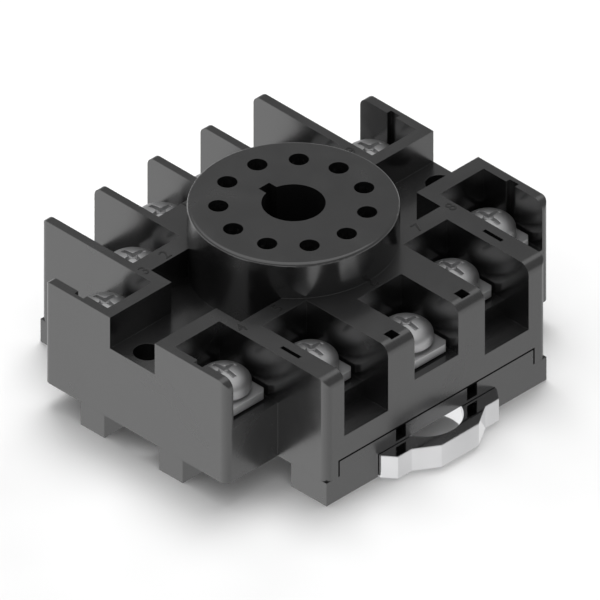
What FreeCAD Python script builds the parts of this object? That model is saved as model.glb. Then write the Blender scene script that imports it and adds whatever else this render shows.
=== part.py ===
import FreeCAD, Part
import math
import os
import types

import Sketcher

# An eleven-pin plug-in relay socket for a 35 mm mounting rail. The frame stands on the
# axis of the receptacle: X runs towards the release clip, Y along the rail, Z up to the
# relay, and zero height is the plane in which the base sits on the rail. Millimetres.

# Each row is a size's name, its value or the formula that it follows, and what it measures.
SIZES = [
    ("body_length", 51.1, "housing along X"),
    ("body_width", 39.3, "housing along Y without its wings"),
    ("wing_span", 57.8, "housing along Y over both wings"),
    ("front_wing_end", 16.85, "X of the wings' front faces"),
    ("rear_wing_end", 15.7, "distance of the wings' rear faces behind the axis"),
    ("notch_front", 4.1, "X of the fixing notch's front wall"),
    ("notch_rear", 3.9, "distance of the fixing notch's rear wall behind the axis"),
    ("corner_radius", 1.0, "rounding of the upright outer corners"),
    ("end_rounding", 1.5, "rounding at the top of the walls' front ends"),
    ("ridge_rounding", 1.2, "rounding at the top of the ridges' rear ends"),
    ("wall_top", 15.6, "top of the walls between the terminals"),
    ("outer_wall", 1.3, "thickness of the outer walls"),
    ("valley_floor", 10.85, "floor round the receptacle and in the notches"),
    ("valley_skin", 1.45, "thickness of that floor"),
    ("valley_front", 8.4, "X where the floor ends in front"),
    ("valley_rear", 7.6, "distance where the floor ends behind the axis"),
    ("valley_wall", 1.75, "wall beside that floor"),
    ("valley_width", "=body_width - 2 * valley_wall", "the floor along Y"),
    ("bay_width", 7.85, "front terminal bay between its walls"),
    ("bay_floor", 8.2, "floor under the terminals"),
    ("step_floor", 5.8, "lower floor where the wires come in"),
    ("front_wall", 4.7, "wall on each side of the middle front bay"),
    ("ridge", 1.1, "thickness of the ridges between the rear bays"),
    ("rear_bay_wall", 1.26, "wall between the rear bays and the wing"),
    ("rear_pitch", "=(body_width / 2 - rear_bay_wall + ridge / 2) / 2", "rear bays, centre to centre"),
    ("front_middle_screw", 20.1, "X of the middle front screw"),
    ("front_side_screw", 15.7, "X of the screws beside it"),
    ("front_wing_screw", 11.2, "X of the front screws in the wings"),
    ("front_middle_back", 15.3, "X of the middle front bay's back wall"),
    ("front_side_back", 10.95, "X of the back walls beside it"),
    ("front_wing_back", 6.4, "X of the front wing bays' back walls"),
    ("front_side_step", 21.1, "X where the lower floor starts in front"),
    ("rear_middle_screw", 19.0, "distance of the two middle rear screws behind the axis"),
    ("rear_side_screw", 14.5, "distance of the screws beside them"),
    ("rear_wing_screw", 10.05, "distance of the rear screws in the wings"),
    ("rear_middle_back", 15.2, "distance of the middle rear bays' back walls"),
    ("rear_side_back", 10.3, "distance of the back walls beside them"),
    ("rear_wing_back", 5.6, "distance of the rear wing bays' back walls"),
    ("rear_middle_step", 24.7, "distance where the middle bays' lower floor starts"),
    ("rear_side_step", 20.2, "distance where the lower floor beside them starts"),
    ("groove_width", 1.6, "groove beside a screw"),
    ("groove_depth", 0.7, "depth of that groove in the wall"),
    ("receptacle_radius", 13.5, "round boss that takes the relay"),
    ("receptacle_top", 20.9, "its top face"),
    ("receptacle_edge", 0.45, "rounding of its top edge"),
    ("top_plate", 2.4, "thickness of its top over the contacts"),
    ("core_radius", 12.0, "hollow inside the boss"),
    ("pin_circle", 19.05, "diameter of the circle of pin holes"),
    ("pin_hole", 1.3, "radius of a pin hole"),
    ("pin_room", 3.6, "side of the square contact chamber under it"),
    ("key_bore", 4.075, "radius of the bore for the relay's guide post"),
    ("key_width", 1.9, "width of the keyway"),
    ("key_reach", 5.3, "distance of the keyway's end from the axis"),
    ("key_floor", 5.4, "floor of the guide bore"),
    ("key_wall", 1.2, "wall round and under the guide bore"),
    ("fixing_hole", 1.85, "radius of a panel screw hole"),
    ("fixing_wall", 1.2, "wall round a panel screw hole"),
    ("test_hole", 1.5, "side of the square holes in the front walls"),
    ("test_hole_inset", 1.75, "distance of their centres from the front face"),
    ("test_hole_depth", 7.0, "depth of the square holes"),
    ("tag_slot_length", 3.3, "slot in the wall beside the wing, along X"),
    ("tag_slot_width", 0.6, "width of that slot"),
    ("tag_slot_inset", 7.95, "distance of its centre from the front face"),
    ("tag_slot_depth", 3.0, "depth of that slot"),
    ("base_plate", 2.3, "thickness of the base"),
    ("base_gap", 0.1, "clearance between base and housing"),
    ("inset_wall", 2.15, "housing beside the base in the end faces"),
    ("inset_width", "=body_width - 2 * inset_wall", "base where it shows in the end faces"),
    ("foot_drop", 3.5, "feet below the rail plane"),
    ("front_foot", 6.3, "length of the front feet along X"),
    ("rear_foot", 7.75, "length of the rear foot along X"),
    ("rail_width", 35.0, "mounting rail over both lips"),
    ("rail_lip", 1.0, "thickness of the rail's lips"),
    ("hook_reach", 2.0, "length of rail lip that a hook holds"),
    ("hook_gap", 0.15, "room between rail lip and hook"),
    ("hook_width", 20.0, "fixed hook along Y"),
    ("ear_inner", 4.9, "ear feet start at this distance from the axis along X"),
    ("ear_outer", 9.1, "and end at this one"),
    ("ear_depth", 3.4, "ear feet along Y"),
    ("vent_spread", 12.7, "two slots in the base's front edge, centre to centre"),
    ("vent_width", 1.8, "width of each of those slots"),
    ("vent_depth", 3.0, "depth of those slots along X"),
    ("vent_floor", 0.3, "plate left under those slots"),
    ("clip_width", 20.7, "release clip along Y"),
    ("clip_gap", 0.1, "clearance round the clip"),
    ("clip_nose", 4.25, "clip's flat nose ahead of the housing"),
    ("clip_nose_width", 6.6, "width of that flat nose"),
    ("clip_shoulder", 2.15, "clip's shoulders ahead of the housing"),
    ("clip_shoulder_width", 13.2, "width between the shoulders' inner ends"),
    ("clip_heel", 0.45, "clip's outer corners ahead of the housing"),
    ("clip_heel_width", 18.0, "width between the shoulders' outer ends"),
    ("clip_window", 5.0, "radius of the hole for a screwdriver's tip"),
    ("clip_window_inset", 1.45, "front wall between that hole and the nose"),
    ("clip_bar", 1.3, "bar of the clip behind the rail's edge"),
    ("clip_toe_width", 12.0, "clip's toe under the rail, along Y"),
    ("clip_travel", 3.5, "how far the clip pulls out"),
    ("tongue_width", 0.95, "guide tongue on each side of the clip"),
    ("tongue_height", 1.2, "height of the guide tongues"),
    ("tongue_length", 1.8, "length of the guide tongues"),
    ("spring_width", 2.6, "spring across its bends"),
    ("spring_leaf", 0.3, "thickness of the spring strip"),
    ("spring_height", 1.9, "width of the spring strip, upright"),
    ("spring_spread", 15.2, "two springs, centre to centre"),
    ("spring_room", 4.95, "length of the fitted spring"),
    ("spring_post", 1.2, "base post that the spring pushes against, along X"),
    ("pocket_floor", 0.6, "clip under the springs"),
    ("plate_gap", 0.325, "least room beside a clamp plate in its bay"),
    ("wing_plate_gap", 0.375, "and in a wing's bay"),
    ("plate_size", "=min(bay_width - 2 * plate_gap; rear_pitch - ridge - 2 * plate_gap; "
                   "(wing_span - body_width) / 2 - outer_wall - 2 * wing_plate_gap)",
     "clamp plate, each way: as wide as the narrowest bay lets it be"),
    ("pad_inset", 0.1, "terminal pad inside the clamp plate's outline"),
    ("pad_size", "=plate_size - 2 * pad_inset", "terminal pad, each way"),
    ("pad_gap", 0.1, "clearance round the pad in its slot"),
    ("strip", 0.8, "thickness of the contact strip"),
    ("strip_width", 2.6, "width of the contact strip"),
    ("column_gap", 0.325, "room between a wing's contact strip and the wall round the panel screw hole"),
    ("fixing_spread", "=body_width + 2 * (wing_plate_gap + pad_inset + strip_width + column_gap "
                      "+ fixing_hole + fixing_wall)", "panel screw holes, centre to centre along Y"),
    ("middle_pad_room", 2.5, "how far the middle pads' slots reach into the boss's hollow"),
    ("screw_length", 7.0, "terminal screw under its head"),
    ("head_inset", 0.1, "terminal screw's head inside the clamp plate's outline"),
    ("head_radius", "=plate_size / 2 - head_inset", "terminal screw's head"),
    ("screw_radius", "=head_radius / 2", "terminal screw's shank"),
    ("head_height", 2.65, "height of that head"),
    ("head_side", 0.9, "upright edge of that head"),
    ("head_shoulder", 0.7, "distance from that edge at which its dome bends"),
    ("head_shoulder_height", 2.0, "height of that bend"),
    ("thread_gap", 0.05, "clearance of the shank in its nut"),
    ("nut_wall", 0.75, "nut round the terminal screw"),
    ("nut_size", "=2 * (screw_radius + nut_wall)", "square nut under the pad, each way"),
    ("nut_depth", 1.6, "depth of that nut"),
    ("nut_gap", 0.2, "clearance round the nut"),
    ("middle_nut_room", 1.0, "how far the middle nuts' channels reach into the boss's hollow"),
    ("plate_thickness", 1.0, "clamp plate"),
    ("plate_corner", "=plate_size / 6", "cut corners at the clamp plate's front"),
    ("plate_hole_gap", 0.3, "clearance of the screw in the clamp plate"),
    ("clasp_size", 3.0, "square spring clasp that takes a relay pin, each way"),
    ("clasp_room", 2.2, "side of its room, a little under the pin that it grips"),
    ("clasp_gap", 0.3, "clasp below the receptacle's top plate"),
    ("clasp_slit", 0.5, "slits that part the clasp's two leaves"),
    ("clasp_leaf", 6.9, "length of those leaves"),
    ("post_size", 2.2, "square post of the base under each clasp, each way"),
    ("post_gap", 0.1, "post below the contact strip"),
    ("base_screw_front", 18.8, "X of the two front base screws"),
    ("base_screw_rear", 13.5, "distance of the two rear base screws behind the axis"),
    ("base_screw", 1.0, "radius of a base screw"),
    ("base_screw_gap", 0.05, "clearance of that screw in the housing"),
    ("base_screw_head", 2.0, "radius of its countersunk head"),
    ("base_screw_length", 6.5, "length of a base screw"),
    ("base_screw_room", 0.7, "hole beyond the base screw's tip"),
]

PIN_COUNT = 11
SPRING_FOLDS = 6
PIN_STEP = 360.0 / PIN_COUNT


class Dim:
    """A length from the sheet: its present number, and the expression that keeps it current."""

    def __init__(self, number, text=None):
        self.number = number
        self.text = text or f"{number:.6g}"

    def join(self, other, sign, number):
        other = dim(other)
        return Dim(number(self.number, other.number), f"({self.text} {sign} {other.text})")

    def __add__(self, other):
        return self.join(other, "+", lambda a, b: a + b)

    def __sub__(self, other):
        return self.join(other, "-", lambda a, b: a - b)

    def __mul__(self, other):
        return self.join(other, "*", lambda a, b: a * b)

    def __truediv__(self, other):
        return self.join(other, "/", lambda a, b: a / b)

    def __rsub__(self, other):
        return dim(other) - self

    def __neg__(self):
        return dim(0.0) - self

    __radd__ = __add__
    __rmul__ = __mul__


def dim(value):
    """Take a plain number as a length too."""
    return value if isinstance(value, Dim) else Dim(float(value))


doc = FreeCAD.newDocument("relay_socket")
sheet = doc.addObject("Spreadsheet::Sheet", "sizes")
for row, (alias, value, note) in enumerate(SIZES, start=1):
    sheet.set(f"A{row}", alias)
    sheet.set(f"B{row}", str(value))
    sheet.set(f"C{row}", note)
    sheet.setAlias(f"B{row}", alias)
doc.recompute()

s = types.SimpleNamespace()
for alias, value, note in SIZES:
    setattr(s, alias, Dim(float(sheet.get(alias)), "sizes." + alias))

# Faces that several pieces share.
front_face = s.body_length / 2
rear_face = -front_face
body_side = s.body_width / 2
wing_side = s.wing_span / 2
wing_inside = wing_side - s.outer_wall
ceiling = s.valley_floor - s.valley_skin
pad_top = s.bay_floor + s.strip
plate_top = pad_top + s.plate_thickness
rail_edge = s.rail_width / 2
front_foot_back = front_face - s.front_foot
rear_foot_front = rear_face + s.rear_foot
inset_side = s.inset_width / 2
over = 1.0


def bind(item, name, length):
    """Tie a property to the sheet."""
    item.setExpression(name, dim(length).text)


def axis_plane(body, role):
    """One of a body's own planes or axes."""
    return next(item for item in body.Origin.OriginFeatures if item.Role == role)


def new_body(name):
    body = doc.addObject("PartDesign::Body", name)
    body.Label = name
    return body


def sketch_on(body, name, height):
    """An empty sketch parallel to the body's XY plane, at a height."""
    sketch = body.newObject("Sketcher::SketchObject", name)
    sketch.AttachmentSupport = [(axis_plane(body, "XY_Plane"), "")]
    sketch.MapMode = "FlatFace"
    bind(sketch, "AttachmentOffset.Base.z", height)
    return sketch


def tie_point(sketch, item, end, x, y):
    """Tie one point of a sketch to its two coordinates."""
    for kind, length in (("DistanceX", dim(x)), ("DistanceY", dim(y))):
        rule = Sketcher.Constraint(kind, -1, 1, item, end, length.number)
        index = sketch.addConstraint(rule)
        sketch.setExpression(f"Constraints[{index}]", length.text)


def outline(sketch, corners):
    """A closed run of straight lines through the corners."""
    corners = [(dim(x), dim(y)) for x, y in corners]
    first = sketch.GeometryCount
    count = len(corners)
    points = [FreeCAD.Vector(x.number, y.number, 0) for x, y in corners]
    lines = [Part.LineSegment(points[i], points[(i + 1) % count]) for i in range(count)]
    sketch.addGeometry(lines, False)
    joints = [
        Sketcher.Constraint("Coincident", first + i, 2, first + (i + 1) % count, 1)
        for i in range(count)
    ]
    sketch.addConstraint(joints)
    for i, (x, y) in enumerate(corners):
        tie_point(sketch, first + i, 1, x, y)


def rectangle(sketch, x_low, x_high, y_low, y_high):
    outline(sketch, [(x_low, y_low), (x_high, y_low), (x_high, y_high), (x_low, y_high)])


def square(sketch, x, y, side):
    half = side / 2
    rectangle(sketch, x - half, x + half, y - half, y + half)


def circle(sketch, x, y, radius):
    radius = dim(radius)
    centre = FreeCAD.Vector(dim(x).number, dim(y).number, 0)
    round_line = Part.Circle(centre, FreeCAD.Vector(0, 0, 1), radius.number)
    item = sketch.addGeometry(round_line, False)
    tie_point(sketch, item, 3, x, y)
    index = sketch.addConstraint(Sketcher.Constraint("Radius", item, radius.number))
    sketch.setExpression(f"Constraints[{index}]", radius.text)


def both_sides(draw):
    """Draw the same thing on the left and on the right of the XZ plane."""
    for side in (-1, 1):
        draw(side)


def mirrored(half):
    """Close an outline by its own reflection across the X axis."""
    return half + [(x, -dim(y)) for x, y in reversed(half)]


def pad(body, name, low, high, draw):
    """Add material between two heights."""
    sketch = sketch_on(body, name + "_outline", low)
    draw(sketch)
    feature = body.newObject("PartDesign::Pad", name)
    feature.Profile = sketch
    bind(feature, "Length", dim(high) - low)
    return feature


def pocket(body, name, high, low, draw):
    """Cut downwards from one height to a lower one."""
    sketch = sketch_on(body, name + "_outline", high)
    draw(sketch)
    feature = body.newObject("PartDesign::Pocket", name)
    feature.Profile = sketch
    bind(feature, "Length", dim(high) - low)
    return feature


def side_cut(body, name, y_low, y_high, draw):
    """Cut along Y between two places, through an outline of X and Z."""
    sketch = body.newObject("Sketcher::SketchObject", name + "_outline")
    sketch.AttachmentSupport = [(axis_plane(body, "XZ_Plane"), "")]
    sketch.MapMode = "FlatFace"
    bind(sketch, "AttachmentOffset.Base.z", -dim(y_low))
    draw(sketch)
    feature = body.newObject("PartDesign::Pocket", name)
    feature.Profile = sketch
    bind(feature, "Length", dim(y_high) - y_low)
    return feature


def top_corner(sketch, face, way, radius):
    """What lies outside a rounded upper corner at X = face; way is 1 in front and -1 behind."""
    inner = face - radius * way
    outer = face + over * way
    level = s.wall_top - radius
    above = s.wall_top + over
    corners = [(face, level), (outer, level), (outer, above), (inner, above), (inner, s.wall_top)]
    points = [FreeCAD.Vector(x.number, dim(z).number, 0) for x, z in corners]
    first = sketch.GeometryCount
    lines = [Part.LineSegment(points[i], points[i + 1]) for i in range(4)]
    centre = FreeCAD.Vector(inner.number, level.number, 0)
    ring = Part.Circle(centre, FreeCAD.Vector(0, 0, 1), radius.number)
    quarter = math.pi / 2
    start = 0.0 if way > 0 else quarter
    arc = Part.ArcOfCircle(ring, start, start + quarter)
    sketch.addGeometry(lines + [arc], False)
    low_end, high_end = (1, 2) if way > 0 else (2, 1)
    for i in range(3):
        sketch.addConstraint(Sketcher.Constraint("Coincident", first + i, 2, first + i + 1, 1))
    sketch.addConstraint(Sketcher.Constraint("Coincident", first + 3, 2, first + 4, high_end))
    sketch.addConstraint(Sketcher.Constraint("Coincident", first + 4, low_end, first, 1))
    for i in range(4):
        tie_point(sketch, first + i, 1, *corners[i])
    tie_point(sketch, first + 3, 2, *corners[4])
    index = sketch.addConstraint(Sketcher.Constraint("Radius", first + 4, radius.number))
    sketch.setExpression(f"Constraints[{index}]", radius.text)


def edges_where(shape, test):
    """Names of the straight edges that pass a test on their two ends."""
    names = []
    for index, edge in enumerate(shape.Edges, start=1):
        if len(edge.Vertexes) == 2 and isinstance(edge.Curve, (Part.Line, Part.LineSegment)):
            start, end = (vertex.Point for vertex in edge.Vertexes)
            if test(start, end):
                names.append(f"Edge{index}")
    return names


def fillet(body, name, edge_names, radius):
    feature = body.newObject("PartDesign::Fillet", name)
    feature.Base = (feature.BaseFeature, edge_names)
    bind(feature, "Radius", radius)
    return feature


def near(a, b):
    return abs(a - dim(b).number) < 1e-4


# The terminals, in the order of the relay's pins, counted from the keyway. Each has the
# X of its screw and of its bay's back wall, its distance from the middle, and its side.
front_side_y = s.bay_width + s.front_wall
wing_y = body_side + s.wing_plate_gap + s.plate_size / 2
REAR_MIDDLE = (-s.rear_middle_screw, -s.rear_middle_back, s.rear_pitch / 2)
REAR_SIDE = (-s.rear_side_screw, -s.rear_side_back, s.rear_pitch * 1.5)
REAR_WING = (-s.rear_wing_screw, -s.rear_wing_back, wing_y)
FRONT_WING = (s.front_wing_screw, s.front_wing_back, wing_y)
FRONT_SIDE = (s.front_side_screw, s.front_side_back, front_side_y)
FRONT_MIDDLE = (s.front_middle_screw, s.front_middle_back, dim(0.0))
HALF = [REAR_MIDDLE, REAR_SIDE, REAR_WING, FRONT_WING, FRONT_SIDE]
TERMINALS = [(x, back, -y) for x, back, y in HALF]
TERMINALS.append(FRONT_MIDDLE)
TERMINALS.extend(reversed(HALF))


def cross(inset):
    """The housing's plan, drawn in by a wall's thickness."""
    return mirrored([
        (front_face - inset, body_side - inset),
        (s.front_wing_end - inset, body_side - inset),
        (s.front_wing_end - inset, wing_side - inset),
        (inset - s.rear_wing_end, wing_side - inset),
        (inset - s.rear_wing_end, body_side - inset),
        (rear_face + inset, body_side - inset),
    ])


def build_housing():
    """The moulded upper part, with its bays, its receptacle and the hollow for the contacts."""
    body = new_body("housing")
    pad(body, "block", 0, s.wall_top, lambda sketch: outline(sketch, cross(dim(0))))
    doc.recompute()
    corners = ((front_face, body_side), (rear_face, body_side), (s.front_wing_end, wing_side),
               (-s.rear_wing_end, wing_side))

    def outer_corner(start, end):
        upright = near(start.x, end.x) and near(start.y, end.y)
        return upright and any(near(start.x, x) and near(abs(start.y), y) for x, y in corners)

    fillet(body, "corners", edges_where(body.Shape, outer_corner), s.corner_radius)

    def draw_ends(sketch):
        top_corner(sketch, front_face, 1, s.end_rounding)
        top_corner(sketch, rear_face, -1, s.ridge_rounding)

    def draw_wing_ends(sketch):
        top_corner(sketch, s.front_wing_end, 1, s.end_rounding)
        top_corner(sketch, -s.rear_wing_end, -1, s.ridge_rounding)

    side_cut(body, "ends", -body_side - over, body_side + over, draw_ends)
    side_cut(body, "right_wing_ends", body_side, wing_side + over, draw_wing_ends)
    side_cut(body, "left_wing_ends", -wing_side - over, -body_side, draw_wing_ends)

    def draw_valley(sketch):
        outline(sketch, mirrored([
            (s.valley_front, s.valley_width / 2),
            (s.notch_front, s.valley_width / 2),
            (s.notch_front, wing_side + over),
            (-s.notch_rear, wing_side + over),
            (-s.notch_rear, s.valley_width / 2),
            (-s.valley_rear, s.valley_width / 2),
        ]))

    pocket(body, "valley", s.wall_top, s.valley_floor, draw_valley)

    front_reach = front_face + over
    rear_reach = rear_face - over
    half_bay = s.bay_width / 2
    half_ridge = s.ridge / 2

    def draw_bays(sketch):
        rectangle(sketch, s.front_middle_back, front_reach, -half_bay, half_bay)

        def draw_side(side):
            inner = front_side_y - half_bay
            outer = front_side_y + half_bay
            rectangle(sketch, s.front_side_back, front_reach, inner * side, outer * side)
            wing_front = s.front_wing_end + over
            rectangle(sketch, s.front_wing_back, wing_front, body_side * side, wing_inside * side)
            middle_outer = s.rear_pitch - half_ridge
            rectangle(sketch, rear_reach, -s.rear_middle_back, half_ridge * side, middle_outer * side)
            side_inner = s.rear_pitch + half_ridge
            side_outer = s.rear_pitch * 2 - half_ridge
            rectangle(sketch, rear_reach, -s.rear_side_back, side_inner * side, side_outer * side)
            wing_rear = -(s.rear_wing_end + over)
            rectangle(sketch, wing_rear, -s.rear_wing_back, body_side * side, wing_inside * side)

        both_sides(draw_side)

    pocket(body, "bays", s.wall_top, s.bay_floor, draw_bays)

    def draw_steps(sketch):
        def draw_side(side):
            inner = front_side_y - half_bay
            outer = front_side_y + half_bay
            rectangle(sketch, s.front_side_step, front_reach, inner * side, outer * side)
            middle_outer = s.rear_pitch - half_ridge
            rectangle(sketch, rear_reach, -s.rear_middle_step, half_ridge * side, middle_outer * side)
            side_inner = s.rear_pitch + half_ridge
            side_outer = s.rear_pitch * 2 - half_ridge
            rectangle(sketch, rear_reach, -s.rear_side_step, side_inner * side, side_outer * side)

        both_sides(draw_side)

    pocket(body, "steps", s.bay_floor, s.step_floor, draw_steps)

    def draw_grooves(sketch):
        def draw_side(side):
            deep = wing_inside + s.groove_depth
            for middle in (s.front_wing_screw, -s.rear_wing_screw):
                low = middle - s.groove_width / 2
                high = middle + s.groove_width / 2
                rectangle(sketch, low, high, (wing_inside - s.base_gap) * side, deep * side)

        both_sides(draw_side)

    pocket(body, "grooves", s.wall_top, s.bay_floor, draw_grooves)

    pad(body, "receptacle", s.bay_floor, s.receptacle_top,
        lambda sketch: circle(sketch, 0, 0, s.receptacle_radius))
    hollow_housing(body)
    bore_housing(body)
    round_housing(body)
    return body


def hollow_housing(body):
    """Cut the room for base and contacts from below, and leave the columns in it."""
    recess = mirrored([
        (front_face + over, inset_side),
        (front_face - s.outer_wall, inset_side),
        (front_face - s.outer_wall, body_side - s.outer_wall),
        (s.front_wing_end - s.outer_wall, body_side - s.outer_wall),
        (s.front_wing_end - s.outer_wall, wing_inside),
        (s.outer_wall - s.rear_wing_end, wing_inside),
        (s.outer_wall - s.rear_wing_end, body_side - s.outer_wall),
        (rear_face + s.outer_wall, body_side - s.outer_wall),
        (rear_face + s.outer_wall, inset_side),
        (rear_face - over, inset_side),
    ])
    pocket(body, "base_recess", s.base_plate, -over, lambda sketch: outline(sketch, recess))
    pocket(body, "core", ceiling, 0, lambda sketch: circle(sketch, 0, 0, s.core_radius))

    def draw_side_rooms(sketch):
        front = s.front_side_back - s.outer_wall
        rear = s.outer_wall - s.rear_side_back
        wing_front = s.front_wing_back - s.outer_wall
        wing_rear = s.outer_wall - s.rear_wing_back
        inner = s.valley_width / 2 - s.outer_wall
        outline(sketch, mirrored([
            (front, inner),
            (wing_front, inner),
            (wing_front, wing_inside),
            (wing_rear, wing_inside),
            (wing_rear, inner),
            (rear, inner),
        ]))

    pocket(body, "side_rooms", ceiling, 0, draw_side_rooms)

    def draw_slots(sketch):
        """The pads' slots in the back walls."""
        half = s.pad_size / 2 + s.pad_gap
        for screw_x, back, y in TERMINALS:
            way = 1 if screw_x.number > 0 else -1
            if near(abs(back.number), s.front_middle_back) or near(abs(back.number), s.rear_middle_back):
                inner = (s.core_radius - s.middle_pad_room) * way
            else:
                inner = back - (s.outer_wall + s.base_gap) * way
            outer = back + s.base_gap * way
            rectangle(sketch, inner, outer, y - half, y + half)

    pocket(body, "pad_slots", pad_top + s.pad_gap, s.bay_floor, draw_slots)

    def draw_channels(sketch):
        """The nuts' channels in the floors, each ending round its screw."""
        half = s.nut_size / 2 + s.nut_gap
        for screw_x, back, y in TERMINALS:
            way = 1 if screw_x.number > 0 else -1
            if near(abs(back.number), s.front_middle_back) or near(abs(back.number), s.rear_middle_back):
                inner = (s.core_radius - s.middle_nut_room) * way
            else:
                inner = back - (s.outer_wall + s.base_gap) * way
            rectangle(sketch, inner, screw_x + half * way, y - half, y + half)

    pocket(body, "nut_channels", s.bay_floor, s.base_plate, draw_channels)

    def draw_columns(sketch):
        reach = s.fixing_hole + s.fixing_wall
        inner = s.fixing_spread / 2 - reach
        both_sides(lambda side: rectangle(sketch, -reach, reach, inner * side, wing_inside * side))

    pad(body, "fixing_columns", 0, s.valley_floor, draw_columns)
    pad(body, "key_column", s.key_floor - s.key_wall, ceiling + s.base_gap,
        lambda sketch: circle(sketch, 0, 0, s.key_reach + s.key_wall))


def bore_housing(body):
    """Every hole that goes into the housing from above, and the base screws' from below."""
    pin_x = s.pin_circle / 2
    hole = pocket(body, "pin_hole", s.receptacle_top, s.receptacle_top - s.top_plate - s.base_gap,
                  lambda sketch: circle(sketch, pin_x, 0, s.pin_hole))
    chamber = pocket(body, "pin_chamber", s.receptacle_top - s.top_plate, ceiling - s.base_gap,
                     lambda sketch: square(sketch, pin_x, 0, s.pin_room))
    ring = body.newObject("PartDesign::PolarPattern", "pin_ring")
    ring.Originals = [hole, chamber]
    ring.Axis = (axis_plane(body, "Z_Axis"), [""])
    ring.Angle = 360.0
    ring.Occurrences = PIN_COUNT
    body.Tip = ring

    pocket(body, "key_hole", s.receptacle_top, s.key_floor,
           lambda sketch: circle(sketch, 0, 0, s.key_bore))
    pocket(body, "keyway", s.receptacle_top, s.key_floor,
           lambda sketch: rectangle(sketch, -s.key_reach, -s.key_bore / 2,
                                    -s.key_width / 2, s.key_width / 2))

    def draw_fixings(sketch):
        both_sides(lambda side: circle(sketch, 0, s.fixing_spread / 2 * side, s.fixing_hole))

    pocket(body, "fixing_holes", s.valley_floor, -over, draw_fixings)

    test_x = front_face - s.test_hole_inset
    test_y = (s.bay_width + s.front_wall) / 2
    half = s.test_hole / 2

    def draw_test_holes(sketch):
        both_sides(lambda side: rectangle(sketch, test_x - half, test_x + half,
                                          test_y * side - half, test_y * side + half))

    pocket(body, "test_holes", s.wall_top, s.wall_top - s.test_hole_depth, draw_test_holes)

    slot_x = front_face - s.tag_slot_inset
    slot_y = (front_side_y + s.bay_width / 2 + body_side) / 2
    half_length = s.tag_slot_length / 2
    half_width = s.tag_slot_width / 2

    def draw_tag_slots(sketch):
        both_sides(lambda side: rectangle(sketch, slot_x - half_length, slot_x + half_length,
                                          slot_y * side - half_width, slot_y * side + half_width))

    pocket(body, "tag_slots", s.wall_top, s.wall_top - s.tag_slot_depth, draw_tag_slots)

    def draw_pilots(sketch):
        for x, y in base_screw_places():
            circle(sketch, x, y, s.base_screw + s.base_screw_gap)

    pocket(body, "pilot_holes", s.base_screw_length + s.base_screw_room, 0, draw_pilots)


def round_housing(body):
    """Round the boss's top edge."""
    doc.recompute()
    names = []
    for index, edge in enumerate(body.Shape.Edges, start=1):
        if isinstance(edge.Curve, Part.Circle) and near(edge.Curve.Radius, s.receptacle_radius):
            if near(edge.Curve.Center.z, s.receptacle_top):
                names.append(f"Edge{index}")
    fillet(body, "boss_edge", names, s.receptacle_edge)


def base_screw_places():
    """The four screws that hold the base: X and Y of each."""
    front_y = (s.bay_width + s.front_wall) / 2
    rear_y = s.rear_pitch
    places = []
    for side in (-1, 1):
        places.append((s.base_screw_front, front_y * side))
        places.append((-s.base_screw_rear, rear_y * side))
    return places


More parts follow.
